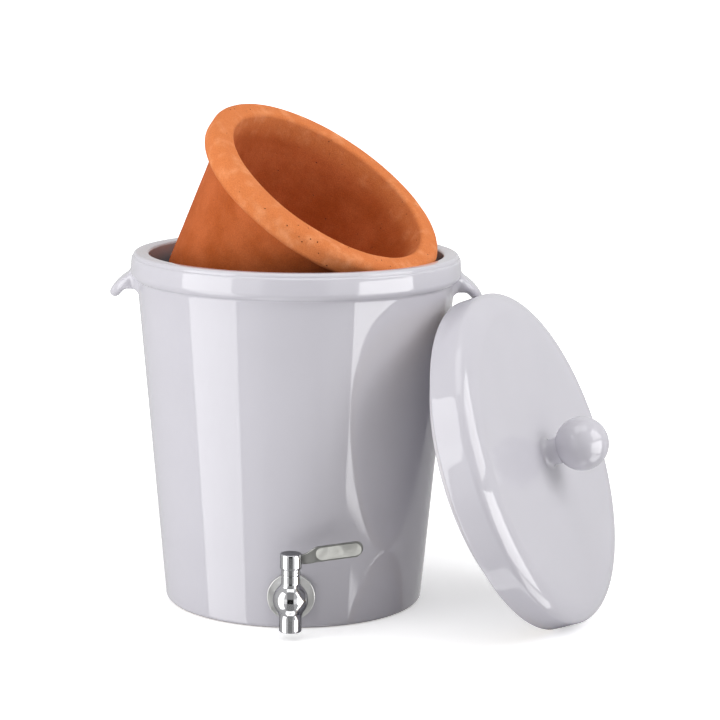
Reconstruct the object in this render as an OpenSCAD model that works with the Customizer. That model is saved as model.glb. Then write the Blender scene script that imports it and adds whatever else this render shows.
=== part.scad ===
// Gravity water filter: glazed crock with a ball-valve tap, a clay filter pot
// tipped in its mouth, and the lid leaning against one ear of the crock.
// Origin: centre of the crock's flat base. +Z up, the tap points along -Y.

/* [Crock] */
// Height of the crock to the crest of its lip
crock_h = 364; // [340:2:400]
// Outer radius of the wall at the base
base_r = 133.3; // [128:0.5:142]
// Thickness of the wall
wall_t = 12; // [9:0.5:14]
// Thickness of the floor
floor_t = 14; // [9:0.5:15]
// Rounding of the base edge
base_round = 5; // [2:0.5:8]
// Rounding inside, between wall and floor
inner_round = 4; // [3:0.5:10]
// Outer radius of the rim band
band_r = 170; // [169:0.5:174]
// How far the rim band stands out from the wall
band_step = 7; // [5:0.5:9]
// Height of the rim band, lip included
band_h = 34; // [30:1:44]
// Rounding of the band's lower edge
band_low_round = 7; // [4:0.5:8]
// Rounding of the band's upper edge, under the lip
band_top_round = 6; // [3:0.5:6]
// Radius of the rolled lip
lip_roll_r = 8; // [6:0.5:8.5]

/* [Ears] */
// Reach of an ear beyond the rim band
ear_reach = 22; // [18:0.5:26]
// Radius of an ear seen from above
ear_plan_r = 76; // [68:1:84]
// Depth of an ear's tip below the crest of the lip
ear_drop = 50; // [46:0.5:54]
// Depth below the crest at which an ear leaves the band
ear_top = 20; // [17:0.5:24]
// Thickness of an ear at its tip
ear_t = 10.6; // [8:0.2:12]
// Radius of an ear's bent outer face
ear_bend_r = 58; // [48:1:80]
// Radius of the arch that an ear's lower edge makes, seen from the side
ear_arch_r = 80; // [70:1:110]
// Height by which the arch cuts into an ear's rounded tip
ear_edge_cut = 1; // [0.5:0.25:3]

/* [Seat lugs for the filter pot] */
// Depth of the lug tops below the crest of the lip
seat_drop = 27; // [26:0.5:30]
// Reach of a lug from the wall of the mouth
seat_reach = 27; // [25:0.5:29]
// Width of a lug
seat_w = 40; // [28:1:44]
// Thickness of a lug at its tip
seat_t = 9; // [7:0.5:12]
// Direction of the first lug, in degrees from +X
seat_turn = -31; // [-38:1:-24]

/* [Filter pot] */
// Gap between the pot's rim and the mouth when it sits level
pot_gap = 17; // [13:0.5:19]
// Height of the rim
pot_rim_h = 25; // [22:0.5:28]
// Width of the rim's top
pot_rim_w = 24; // [22:0.5:28]
// How far the rim stands out from the wall
pot_rim_step = 15; // [13:0.5:16]
// Taper of the wall, in degrees
pot_taper = 9.5; // [7:0.1:11]
// Height of the pot
pot_h = 175; // [170:1:180]
// Thickness of the pot's wall
pot_wall_t = 14; // [11:0.5:16]
// Thickness of the pot's base
pot_floor_t = 16; // [12:0.5:20]
// Rounding of the rim's upper outer edge
pot_top_round = 9; // [6:0.5:10]
// Rounding of the rim's lower outer edge
pot_low_round = 6; // [4:0.5:8]
// Rounding of the base edge
pot_base_round = 14; // [8:0.5:16]
// Angle between the pot's axis and the vertical as it lies in the mouth
pot_tilt = 36.5; // [34:0.5:39]

/* [Lid] */
// How far the lid's edge stands out beyond the rim band
lid_overhang = 1.5; // [0:0.5:5]
// Height of the lid without its knob
lid_h = 42; // [36:1:50]
// Rounding of the lid's shoulder
lid_round = 15; // [8:0.5:18]
// Thickness of the lid's top and skirt
lid_wall_t = 9; // [7:0.5:11]
// Width of the ring on the lid's edge that sits on the lip
lid_seat_w = 25; // [22:0.5:27]
// Rounding of the skirt's lower edge
lid_edge_r = 3; // [1.5:0.5:4]
// Depth of the locating flange below the skirt
flange_d = 14; // [8:1:18]
// Thickness of the locating flange
flange_t = 7; // [5:0.5:9]
// Gap between the locating flange and the crock's mouth when shut
flange_gap = 5; // [3:0.5:6]
// Diameter of the knob's ball
knob_d = 54; // [46:1:60]
// Diameter of the knob's neck
knob_neck_d = 26; // [20:1:32]
// Radius of the flare where the neck meets the lid and the ball
knob_flare_r = 5; // [3:0.5:5]
// Length of the knob's neck, from the lid's face to the ball
knob_neck_h = 10.5; // [8:0.5:14]
// Lean of the lid's face back from the vertical, in degrees
lid_lean = 20.8; // [18:0.2:24]
// Direction that the lid's face looks in, in degrees from +X
lid_face_turn = -23.8; // [-27:0.2:-21]
// Direction of the lid from the crock's axis, in degrees from +X
lid_bearing = -20.2; // [-26:0.1:-18]

/* [Tap] */
// Height of the shank's axis above the base
shank_z = 36; // [35:0.5:42]
// Distance from the wall to the axis of the spout
tap_reach = 31.5; // [29:0.5:36]
// Radius of the flat pad on the wall that the tap seats on
pad_r = 20; // [19:0.5:21.5]
// Thread diameter of the shank
shank_d = 16.6; // [15:0.2:17]
// Bore of the shank
shank_bore = 10; // [8:0.5:11]
// Diameter of the shank's head inside the valve body
shank_head_d = 19.6; // [19:0.1:20.4]
// Pitch of the shank's thread
thread_pitch = 1.34; // [1:0.02:2]
// Depth of the shank's thread
thread_d = 0.8; // [0.5:0.1:0.9]
// Diameter of the hole through the crock
wall_hole_d = 18; // [17.6:0.2:19]
// Diameter of the escutcheon
escutcheon_d = 47.5; // [44:0.5:52]
// Thickness of the escutcheon
escutcheon_t = 3.5; // [2.5:0.5:5]
// Thickness of each silicone gasket
gasket_t = 2.5; // [1.5:0.5:4]
// Diameter of the outer gasket
outer_gasket_d = 37; // [32:1:38]
// Diameter of the inner gasket
inner_gasket_d = 34; // [30:1:36]
// Diameter of the steel washer
washer_d = 32; // [28:1:34]
// Thickness of the steel washer
washer_t = 1.5; // [1:0.25:2.5]
// Width of the lock nut across its flats
nut_af = 24; // [22:0.5:27]
// Height of the lock nut
nut_h = 8; // [6:0.5:10]
// Length of thread that stands beyond the lock nut
thread_spare = 5; // [3:0.5:8]

/* [Valve] */
// Diameter of the valve body's ball-shaped middle
body_d = 34.8; // [33:0.2:38]
// Height of that middle above the base
body_z = 40; // [39:0.5:42]
// Diameter of the inlet boss behind the body
boss_d = 25; // [24:0.5:28]
// Diameter of the body's neck
neck_d = 18.6; // [17.6:0.2:20]
// Height of the neck's top
neck_top_z = 66; // [65:0.5:69]
// Outer diameter of the spout at its end
spout_d = 22.2; // [21.8:0.2:24]
// Bore of the spout
spout_bore = 17.2; // [15:0.2:18]
// Height of the spout's end above the base
spout_z = 8; // [5:0.5:12]
// Diameter of the valve ball
ball_d = 18; // [17:0.2:18.2]
// Port through the valve ball
port_d = 9; // [7:0.5:9]
// Thickness of the outlet seat and the inlet seat
seat_ring_t = 5; // [4.6:0.1:5.4]
// Diameter of the valve stem
stem_d = 9; // [8:0.2:9]
// Diameter of the stem's shoulder
shoulder_d = 12; // [11:0.2:12.4]
// Cord diameter of the stem's O-rings
o_ring_d = 1.8; // [1.4:0.1:2]
// Thickness of the thrust washer
thrust_t = 1; // [0.8:0.1:1.5]
// Diameter of the retaining collar
collar_d = 19; // [18:0.2:20]
// Height of the collar above the neck
collar_h = 5.6; // [5:0.1:7]
// Diameter of the stop pin
stop_pin_d = 2.4; // [1.8:0.1:2.6]
// Direction of the stop pin round the collar, in degrees from +X
stop_pin_turn = -53; // [-60:1:-45]

/* [Handle] */
// Diameter of the handle's cap
cap_d = 21.4; // [20:0.2:23]
// Height of the handle's cap
cap_h = 15; // [13:0.2:17]
// Side of the square on the stem that the cap sits on
stem_square = 6; // [5:0.2:6.2]
// Height of the lever's root on the cap
lever_root_h = 9.4; // [7:0.2:10]
// Thickness of the lever
lever_t = 2.8; // [2:0.1:3.4]
// Distance from the stem's axis to the near end of the paddle
paddle_start = 23; // [20:0.5:26]
// Length of the paddle
paddle_l = 48; // [42:1:56]
// Width of the paddle
paddle_w = 15.6; // [13:0.2:18]
// Rise of the lever above the horizontal, in degrees
lever_rise = 8.5; // [6:0.5:12]
// Height of the paddle's axis above the cap's foot where the paddle starts
paddle_lift = 15; // [12:0.2:16]
// Width of the paddle's border round its plate
paddle_border = 1.5; // [1:0.1:2.5]
// Thickness of the bare plate
plate_t = 0.8; // [0.5:0.1:1.2]
// Thread diameter of the grub screw in the cap
grub_d = 4; // [3:0.5:4]
// Angle that the handle turns through from shut to open
handle_travel = 90; // [80:1:95]

/* [Clearances] */
// Gap between pieces of different bodies that rest on each other
rest_gap = 0.3; // [0.2:0.05:0.4]
// Radial running clearance of the stem, the ball and the stop pin
run_gap = 0.06; // [0.04:0.01:0.1]
// Radial clearance of fixed fits, such as nut on thread
fit_gap = 0.1; // [0.05:0.05:0.2]

/* [Hidden] */
$fn = 96;
arc_steps = 6;      // straight pieces that an arc of a profile is drawn with
eps = 0.01;         // overlap that keeps a cut from ending on a face
overlap = 6;        // depth that joined ceramic forms reach into each other

band_z = crock_h - band_h;
neck_r = band_r - band_step;
mouth_r = neck_r - wall_t;
seat_r = mouth_r - seat_reach;
pot_rim_r = mouth_r - pot_gap;
pot_mouth_r = pot_rim_r - pot_rim_w;
pot_neck_r = pot_rim_r - pot_rim_step;
lid_r = band_r + lid_overhang;
seat_z = crock_h - seat_drop;
ear_x0 = band_r + ear_reach - ear_plan_r;

function arc(c, r, a0, a1, n = arc_steps) =
    [for (i = [0:n]) c + r * [cos(a0 + (a1 - a0) * i / n), sin(a0 + (a1 - a0) * i / n)]];
// Point where the circles about p and q meet, on the right of the way from p to q
function circles_meet(p, rp, q, rq) =
    let (d = norm(q - p), a = (rp * rp - rq * rq + d * d) / (2 * d), u = (q - p) / d)
    p + a * u + sqrt(rp * rp - a * a) * [u[1], -u[0]];
function angle_of(v) = atan2(v[1], v[0]);

// ---- crock wall ----
function wall_r(z) = base_r + (neck_r - base_r) * z / band_z;
wall_slope = atan((neck_r - base_r) / band_z);

// ---- ear section, as distance from the ear's own axis and height ----
ear_core = [ear_plan_r - ear_t / 2, crock_h - ear_drop + ear_t / 2];
ear_root = [band_r - 2 - ear_x0, crock_h - ear_top + 1];
ear_c = circles_meet(ear_root, ear_bend_r, ear_core, ear_bend_r - ear_t / 2);
ear_a_tip = angle_of(ear_core - ear_c);
ear_a_root = angle_of(ear_root - ear_c);
ear_a_notch = ear_a_tip + 0.42 * (ear_a_root - ear_a_tip);
ear_web_z = crock_h - ear_drop + 6;
ear_arch_z = crock_h - ear_drop + ear_edge_cut + ear_arch_r;
ear_half = 75;
ear_cores = [for (i = [0:6])
    ear_c + (ear_bend_r - ear_t / 2)
        * [cos(ear_a_tip + (ear_a_root - ear_a_tip) * i / 6),
           sin(ear_a_tip + (ear_a_root - ear_a_tip) * i / 6)]];

// ---- filter pot at rest: its rim on the first lug, its base on the third ----
pot_c_z = seat_z + rest_gap + pot_low_round + (pot_rim_h - pot_low_round) * cos(pot_tilt)
    + (pot_rim_r - pot_low_round) * sin(pot_tilt);
pot_c_x = -seat_r + (pot_h + rest_gap + (seat_z - pot_c_z) * cos(pot_tilt)) / sin(pot_tilt);
function pot_wall_r(d) = pot_neck_r - (d - pot_rim_h) * tan(pot_taper);
function pot_in_r(d) = pot_wall_r(d) - pot_wall_t;

// ---- lid at rest: on the floor and against the ear ----
flange_r = min(mouth_r - flange_gap, lid_r - lid_seat_w);
lid_n = [cos(lid_face_turn) * cos(lid_lean), sin(lid_face_turn) * cos(lid_lean), sin(lid_lean)];
lid_up = [-cos(lid_face_turn) * sin(lid_lean), -sin(lid_face_turn) * sin(lid_lean), cos(lid_lean)];
lid_side = [-sin(lid_face_turn), cos(lid_face_turn), 0];
lid_c_z = lid_edge_r * (1 - sin(lid_lean)) + (lid_r - lid_edge_r) * cos(lid_lean);
// rings on the lid's underside, side and shoulder: radius, height and rounding
lid_rings = concat(
    [[lid_r - lid_edge_r, lid_edge_r, lid_edge_r], [lid_r - lid_edge_r, 0, 0],
     [flange_r, 0, 0], [flange_r, -flange_d, 0], [lid_r - lid_round, lid_h - lid_round, lid_round]],
    [for (i = [1:4]) [lid_r, lid_edge_r + (lid_h - lid_round - lid_edge_r) * i / 4, 0]]);
function lid_centre(d) = [d * cos(lid_bearing), d * sin(lid_bearing), lid_c_z];
function ear_distance(p) = max(
    norm([p[1], p[2] - ear_arch_z]) - ear_arch_r,
    min([for (k = ear_cores) norm([norm([abs(p[0]) - ear_x0, p[1]]) - k[0], p[2] - k[1]])]) - ear_t / 2);
function band_distance(p) =
    norm([max(norm([p[0], p[1]]) - band_r + band_low_round, 0), max(band_z + band_low_round - p[2], 0)])
    - band_low_round;
function crock_distance(p) =
    min(ear_distance(p), band_distance(p), (norm([p[0], p[1]]) - wall_r(p[2])) * cos(wall_slope));
function lid_gap(d) = min([for (ring = lid_rings) for (t = [0:3:180])
    crock_distance(lid_centre(d) + ring[1] * lid_n + ring[0] * (cos(t) * lid_side + sin(t) * lid_up))
    - ring[2]]);
function solve_lid(lo, hi, n) = n == 0 ? hi
    : let (mid = (lo + hi) / 2) lid_gap(mid) > rest_gap ? solve_lid(lo, mid, n - 1) : solve_lid(mid, hi, n - 1);
lid_d = solve_lid(band_r, band_r + lid_r, 18);

// ---- tap: planes along its shank, as distances from the crock's axis ----
tap_y = wall_r(shank_z) + tap_reach;
pad_out_y = wall_r(shank_z + pad_r) + 0.6;
inner_pad_r = inner_gasket_d / 2 + 0.7;
pad_in_y = sqrt(pow(wall_r(shank_z - inner_pad_r) - wall_t, 2) - pow(inner_pad_r, 2));
escutcheon_y = pad_out_y + gasket_t;
boss_y = escutcheon_y + escutcheon_t;
washer_y = pad_in_y - gasket_t;
nut_y = washer_y - washer_t;
shank_end_y = nut_y - nut_h - thread_spare;
seat_contact = ball_d / 2 * 0.75;
inlet_seat_y = tap_y - seat_contact - seat_ring_t;
chamber_d = ball_d + 2 * run_gap + 0.6;
inlet_seat_d = chamber_d - 2 * fit_gap;
outlet_seat_d = 2 * seat_contact - fit_gap;
seat_z0 = shank_z - seat_contact - seat_ring_t;

// ---- stem and collar heights ----
stem_z0 = shank_z + ball_d / 2 - 3;
stem_shaft_z = shank_z + ball_d / 2 + 0.6;
stem_bore_d = stem_d + 2 * run_gap;
shoulder_z = body_z + body_d / 2 * sin(acos(neck_d / body_d)) + 1.8;
shoulder_h = 2;
thrust_z = shoulder_z + shoulder_h + run_gap;
collar_skirt_z = thrust_z + thrust_t + run_gap;
collar_bore_d = 14;
collar_top_z = neck_top_z + collar_h;
cap_z = collar_top_z + rest_gap;
stem_top_z = cap_z + cap_h - 4.6;
o_ring_z = [stem_shaft_z + 3, stem_shaft_z + 6.4];
o_groove_r = stem_bore_d / 2 - o_ring_d - run_gap;
stop_pin_z = neck_top_z + collar_h / 2;
stop_pin_in = stem_d / 2 - 1.2;
tang_w = 4;
tang_l = 10;

// A round bar along Y between two distances from the crock's axis, at the shank's height
module shank_bar(r, y0, y1) {
    translate([0, -y0, shank_z]) rotate([90, 0, 0]) cylinder(r = r, h = y1 - y0);
}
module shank_ring(d, bore, y0, y1) {
    difference() {
        shank_bar(d / 2, y0, y1);
        shank_bar(bore / 2, y0 - 1, y1 + 1);
    }
}
module at_tap() { translate([0, -tap_y, 0]) children(); }
module tube(r, bore_r, z0, z1) {
    translate([0, 0, z0]) difference() {
        cylinder(r = r, h = z1 - z0);
        translate([0, 0, -1]) cylinder(r = bore_r, h = z1 - z0 + 2);
    }
}
module rod(r, z0, z1) { translate([0, 0, z0]) cylinder(r = r, h = z1 - z0); }

// ---- crock ----
module crock_shell() {
    corner = floor_t + inner_round;
    rotate_extrude() polygon(concat(
        [[0, 0]],
        arc([wall_r(base_round) - base_round, base_round], base_round, -90, 0),
        [[wall_r(band_z), band_z]],
        arc([band_r - band_low_round, band_z + band_low_round], band_low_round, -90, 0),
        arc([band_r - band_top_round, crock_h - 2 * lip_roll_r - 1], band_top_round, 0, 55),
        arc([mouth_r + lip_roll_r, crock_h - lip_roll_r], lip_roll_r, -30, 180, 2 * arc_steps),
        [[mouth_r, band_z]],
        arc([wall_r(corner) - wall_t - inner_round, corner], inner_round, 0, -90),
        [[0, floor_t]]));
}
module ears() {
    root_r = wall_r(band_z) - overlap - ear_x0;
    section = concat(
        [[root_r, ear_root[1]]],
        arc(ear_c, ear_bend_r, ear_a_root, ear_a_tip),
        arc(ear_core, ear_t / 2, ear_a_tip, ear_a_tip - 180),
        arc(ear_c, ear_bend_r - ear_t, ear_a_tip, ear_a_notch),
        [[root_r, ear_web_z]]);
    difference() {
        intersection() {
            for (side = [0, 180]) rotate([0, 0, side]) translate([ear_x0, 0, 0]) rotate([0, 0, -ear_half])
                rotate_extrude(angle = 2 * ear_half, $fn = 64) polygon(section);
            translate([0, 0, ear_arch_z]) rotate([0, 90, 0])
                cylinder(r = ear_arch_r, h = 2 * (band_r + ear_reach) + 10, center = true);
        }
        cylinder(r = mouth_r + overlap, h = crock_h);
    }
}
module seat_lugs() {
    root = mouth_r + overlap;
    drop = root - seat_r;
    for (k = [0:3]) rotate([0, 0, seat_turn + 90 * k]) rotate([90, 0, 0])
        translate([0, 0, -seat_w / 2]) linear_extrude(seat_w)
            polygon([[seat_r, seat_z], [root, seat_z], [root, seat_z - seat_t - drop], [seat_r, seat_z - seat_t]]);
}
module crock() {
    color("#d9d8de") difference() {
        union() {
            crock_shell();
            ears();
            seat_lugs();
            shank_bar(pad_r, pad_out_y - overlap, pad_out_y);
            shank_bar(inner_pad_r, pad_in_y, pad_in_y + overlap);
        }
        shank_bar(wall_hole_d / 2, pad_in_y - 1, pad_out_y + 1);
    }
}

// ---- filter pot, drawn upright with the plane of its rim at height 0 ----
module pot_upright() {
    in_round = 5;
    rotate_extrude() polygon(concat(
        [[0, -pot_h]],
        arc([pot_wall_r(pot_h) - pot_base_round + 1.5, -pot_h + pot_base_round], pot_base_round, -90, -9),
        [[pot_wall_r(pot_rim_h), -pot_rim_h]],
        arc([pot_rim_r - pot_low_round, -pot_rim_h + pot_low_round], pot_low_round, -90, 0),
        arc([pot_rim_r - pot_top_round, -pot_top_round], pot_top_round, 0, 90),
        arc([pot_mouth_r + in_round, -in_round], in_round, 90, 180),
        [[pot_in_r(pot_rim_h + 12), -pot_rim_h - 12]],
        arc([pot_in_r(pot_h - pot_floor_t - 12) - 12, -pot_h + pot_floor_t + 12], 12, 0, -90),
        [[0, -pot_h + pot_floor_t]]));
}
module filter_pot() {
    color("#cc7444") rotate([0, 0, seat_turn]) translate([pot_c_x, 0, pot_c_z])
        rotate([0, pot_tilt, 0]) pot_upright();
}

// ---- lid, drawn flat with the lower edge of its skirt at height 0 ----
module lid_flat() {
    in_top = lid_h - lid_wall_t;
    in_r = lid_r - lid_wall_t;
    neck_r0 = knob_neck_d / 2;
    ball_r = knob_d / 2;
    ball_z = lid_h + knob_neck_h + ball_r;
    neck_meet_z = ball_z - sqrt(pow(ball_r, 2) - pow(neck_r0, 2));
    rotate_extrude() polygon(concat(
        [[0, in_top], [in_r - 10, in_top]],
        arc([in_r - 10, in_top - 10], 10, 90, 0),
        [[in_r, lid_wall_t], [flange_r - flange_t, lid_wall_t], [flange_r - flange_t, -flange_d + 2]],
        arc([flange_r - flange_t + 2, -flange_d + 2], 2, 180, 270, 3),
        arc([flange_r - 2, -flange_d + 2], 2, 270, 360, 3),
        [[flange_r, 0]],
        arc([lid_r - lid_edge_r, lid_edge_r], lid_edge_r, -90, 0),
        arc([lid_r - lid_round, lid_h - lid_round], lid_round, 0, 90),
        arc([neck_r0 + knob_flare_r, lid_h + knob_flare_r], knob_flare_r, 270, 180),
        [[neck_r0, neck_meet_z]],
        arc([0, ball_z], ball_r, asin((neck_meet_z - ball_z) / ball_r), 90, 3 * arc_steps)));
}
module lid() {
    color("#d9d8de") translate(lid_centre(lid_d)) rotate([0, 90 - lid_lean, lid_face_turn]) lid_flat();
}

// ---- what clamps the tap to the wall ----
module tap_shank() {
    head_y = boss_y + 2;
    turns = floor((boss_y - shank_end_y - 2) / thread_pitch);
    r = shank_d / 2;
    color("#b9babd") translate([0, 0, shank_z]) rotate([90, 0, 0]) difference() {
        union() {
            rotate_extrude() polygon(concat(
                [[0, shank_end_y], [r - thread_d, shank_end_y]],
                [for (i = [0:turns - 1]) for (k = [[0, r - thread_d], [0.5, r]])
                    [k[1], shank_end_y + (i + k[0]) * thread_pitch + 0.2]],
                [[r - thread_d, shank_end_y + turns * thread_pitch + 0.2], [r - thread_d, head_y], [0, head_y]]));
            translate([0, 0, head_y - eps]) cylinder(d = shank_head_d, h = inlet_seat_y - head_y + eps);
        }
        translate([0, 0, shank_end_y - 1]) cylinder(d = shank_bore, h = tap_y - shank_end_y);
    }
}
module escutcheon() {
    r = escutcheon_d / 2;
    round_r = min(1.4, escutcheon_t / 2);
    color("#d5d6d8") translate([0, 0, shank_z]) rotate([90, 0, 0]) rotate_extrude() polygon(concat(
        [[shank_d / 2 + fit_gap, escutcheon_y], [r - 0.4, escutcheon_y], [r, escutcheon_y + 0.4]],
        arc([r - round_r, boss_y - round_r], round_r, 0, 90),
        [[shank_d / 2 + fit_gap, boss_y]]));
}
module outer_gasket() {
    color("#e6e6e2") shank_ring(outer_gasket_d, shank_d + 2 * fit_gap, pad_out_y, escutcheon_y);
}
module inner_gasket() {
    color("#e6e6e2") shank_ring(inner_gasket_d, shank_d + 2 * fit_gap, washer_y, pad_in_y);
}
module inner_washer() {
    color("#c4c5c8") shank_ring(washer_d, shank_d + 2 * fit_gap, nut_y, washer_y);
}
module lock_nut() {
    corner_d = nut_af / cos(30);
    chamfer = 1.2;
    color("#c4c5c8") difference() {
        intersection() {
            translate([0, -nut_y + nut_h, shank_z]) rotate([90, 0, 0]) cylinder(d = corner_d, h = nut_h, $fn = 6);
            translate([0, 0, shank_z]) rotate([90, 0, 0]) rotate_extrude() polygon([
                [0, nut_y - nut_h], [corner_d / 2 - chamfer, nut_y - nut_h],
                [corner_d / 2 + eps, nut_y - nut_h + chamfer * 0.6], [corner_d / 2 + eps, nut_y - chamfer * 0.6],
                [corner_d / 2 - chamfer, nut_y], [0, nut_y]]);
        }
        shank_bar(shank_d / 2 + fit_gap, nut_y - nut_h - 1, nut_y + 1);
    }
}

// ---- valve ----
module body_outside() {
    edge = 1.2;
    rotate_extrude() polygon(concat(
        [[0, spout_z]],
        arc([spout_d / 2 - edge, spout_z + edge], edge, -90, 0, 4),
        arc([0, body_z], body_d / 2, -acos(spout_d / body_d), acos(neck_d / body_d), 2 * arc_steps),
        [[neck_d / 2, neck_top_z], [0, neck_top_z]]));
}
module tap_body() {
    color("#d0d1d4") difference() {
        union() {
            at_tap() body_outside();
            shank_bar(boss_d / 2, boss_y, tap_y - 6);
        }
        at_tap() {
            rod(spout_bore / 2, spout_z - 1, seat_z0 - 3);
            rod(port_d / 2, seat_z0 - 4, seat_z0 + 1);
            rod(outlet_seat_d / 2 + fit_gap, seat_z0, shank_z);
            translate([0, 0, shank_z]) sphere(d = chamber_d);
            rod(stem_bore_d / 2, shank_z, shoulder_z + 1);
            rod(collar_bore_d / 2, shoulder_z - run_gap, neck_top_z + 1);
        }
        shank_bar(chamber_d / 2, inlet_seat_y - 1, tap_y);
        shank_bar(shank_head_d / 2 + fit_gap, boss_y - 1, inlet_seat_y + fit_gap);
    }
}
module outlet_seat() {
    color("#f2f1ec") at_tap() difference() {
        tube(outlet_seat_d / 2, port_d / 2, seat_z0, seat_z0 + seat_ring_t);
        translate([0, 0, shank_z]) sphere(r = ball_d / 2 + run_gap);
    }
}
module inlet_seat() {
    color("#f2f1ec") difference() {
        shank_ring(inlet_seat_d, port_d, inlet_seat_y, inlet_seat_y + seat_ring_t);
        translate([0, -tap_y, shank_z]) sphere(r = ball_d / 2 + run_gap);
    }
}
// The ball has an elbow port: down to the spout, and sideways to the shank when open
module valve_ball() {
    color("#e3e4e6") at_tap() translate([0, 0, shank_z]) difference() {
        sphere(d = ball_d);
        rotate([180, 0, 0]) cylinder(d = port_d, h = ball_d);
        rotate([0, 90, 90 + handle_travel]) cylinder(d = port_d, h = ball_d);
        sphere(d = port_d);
        translate([-tang_w / 2 - fit_gap, -tang_l / 2 - fit_gap, ball_d / 2 - 3.2])
            cube([tang_w + 2 * fit_gap, tang_l + 2 * fit_gap, 4]);
    }
}
module valve_stem() {
    color("#c4c5c8") at_tap() difference() {
        union() {
            intersection() {
                translate([-tang_w / 2, -tang_l / 2, stem_z0]) cube([tang_w, tang_l, 4]);
                rod(stem_d / 2, stem_z0, stem_z0 + 4);
            }
            rod(stem_d / 2, stem_shaft_z, cap_z);
            rod(shoulder_d / 2, shoulder_z, shoulder_z + shoulder_h);
            translate([-stem_square / 2, -stem_square / 2, cap_z - 1])
                cube([stem_square, stem_square, stem_top_z - cap_z + 1]);
        }
        for (z = o_ring_z) tube(stem_d, o_groove_r, z - o_ring_d / 2 - run_gap, z + o_ring_d / 2 + run_gap);
        stop_groove();
    }
}
// Arc groove round the stem; the stop pin's tip meets its ends when the tap is shut and open
module stop_groove() {
    margin = asin((stop_pin_d / 2 + run_gap) / (stem_d / 2)) + 3;
    half_h = stop_pin_d / 2 + 0.2;
    translate([0, 0, stop_pin_z - half_h]) rotate([0, 0, stop_pin_turn - margin])
        rotate_extrude(angle = handle_travel + 2 * margin)
            translate([stop_pin_in - 0.2, 0]) square([stem_d, 2 * half_h]);
}
module stem_o_rings() {
    color("#2b2b2b") at_tap() for (z = o_ring_z) translate([0, 0, z]) rotate_extrude()
        translate([o_groove_r + o_ring_d / 2 + run_gap / 2, 0]) circle(d = o_ring_d);
}
module thrust_washer() {
    color("#f2f1ec") at_tap() tube(collar_bore_d / 2 - fit_gap, stem_d / 2 + run_gap, thrust_z, thrust_z + thrust_t);
}
module retaining_collar() {
    color("#d0d1d4") at_tap() difference() {
        union() {
            tube(collar_bore_d / 2 - fit_gap, stem_bore_d / 2, collar_skirt_z, neck_top_z + 1);
            translate([0, 0, neck_top_z]) rotate_extrude() polygon([
                [stem_bore_d / 2, 0], [collar_d / 2 - 0.4, 0], [collar_d / 2, 0.4],
                [collar_d / 2, collar_h - 0.4], [collar_d / 2 - 0.4, collar_h], [stem_bore_d / 2, collar_h]]);
        }
        stop_pin_bar(stop_pin_d / 2 + fit_gap, 0, collar_d);
    }
}
module stop_pin_bar(r, from_r, to_r) {
    translate([0, 0, stop_pin_z]) rotate([0, 90, stop_pin_turn]) translate([0, 0, from_r])
        cylinder(r = r, h = to_r - from_r);
}
module stop_pin() {
    color("#8d8e91") at_tap() stop_pin_bar(stop_pin_d / 2, stop_pin_in, collar_d / 2 - 0.6);
}

// ---- handle ----
paddle_a = [paddle_start + paddle_w / 2, cap_z + paddle_lift];
paddle_run = paddle_l - paddle_w;
module stadium(w, run) {
    circle(d = w);
    translate([0, -w / 2]) square([run, w]);
    translate([run, 0]) circle(d = w);
}
// Places a flat outline, drawn along the paddle, upright at the given distance in front of the stem
module on_paddle(front, t) {
    translate([paddle_a[0], -front, paddle_a[1]]) rotate([90, 0, 0]) rotate([0, 0, lever_rise])
        translate([0, 0, -t]) linear_extrude(t) children();
}
module handle_cap() {
    color("#d0d1d4") at_tap() difference() {
        translate([0, 0, cap_z]) rotate_extrude() polygon(concat(
            [[0, 0], [cap_d / 2 - 0.5, 0], [cap_d / 2, 0.5]],
            arc([cap_d / 2 - 1, cap_h - 1], 1, 0, 90, 4),
            [[0, cap_h]]));
        translate([-stem_square / 2 - fit_gap, -stem_square / 2 - fit_gap, cap_z - 1])
            cube([stem_square + 2 * fit_gap, stem_square + 2 * fit_gap, stem_top_z - cap_z + 1.4]);
        lever_tang(fit_gap);
        grub_bar(grub_d / 2 + fit_gap, 0, cap_d);
    }
}
lever_root_z = cap_z + 4.1;
module lever_tang(gap) {
    translate([cap_d / 2 - 3 - gap, -lever_t / 2 - gap, lever_root_z - gap])
        cube([4 + gap, lever_t + 2 * gap, lever_root_h + 2 * gap]);
}
module grub_bar(r, from_r, to_r) {
    translate([0, 0, cap_z + cap_h / 2]) rotate([-90, 0, 0]) translate([0, 0, from_r])
        cylinder(r = r, h = to_r - from_r);
}
module lever() {
    color("#c9cacc") at_tap() difference() {
        union() {
            lever_tang(0);
            hull() {
                translate([cap_d / 2 + 0.4, -lever_t / 2, lever_root_z]) cube([0.6, lever_t, lever_root_h]);
                translate([paddle_a[0], lever_t / 2, paddle_a[1]]) rotate([90, 0, 0])
                    cylinder(d = paddle_w - 0.4, h = lever_t, $fn = 32);
            }
            on_paddle(lever_t / 2, lever_t) stadium(paddle_w, paddle_run);
        }
        translate([0, -eps, 0]) paddle_pocket(plate_t + eps, 0);
    }
}
module paddle_pocket(t, gap) {
    on_paddle(lever_t / 2, t)
        stadium(paddle_w - 2 * paddle_border - 2 * gap, paddle_run);
}
module lever_plate() { color("#dcdcd8") at_tap() paddle_pocket(plate_t - fit_gap, fit_gap); }
module handle_grub_screw() {
    color("#6f7073") at_tap() difference() {
        grub_bar(grub_d / 2, stem_square / 2, cap_d / 2 - 0.8);
        translate([0, 0, cap_z + cap_h / 2]) rotate([-90, 0, 0]) translate([0, 0, cap_d / 2 - 2.6])
            cylinder(d = grub_d / 2, h = 3, $fn = 6);
    }
}

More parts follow.
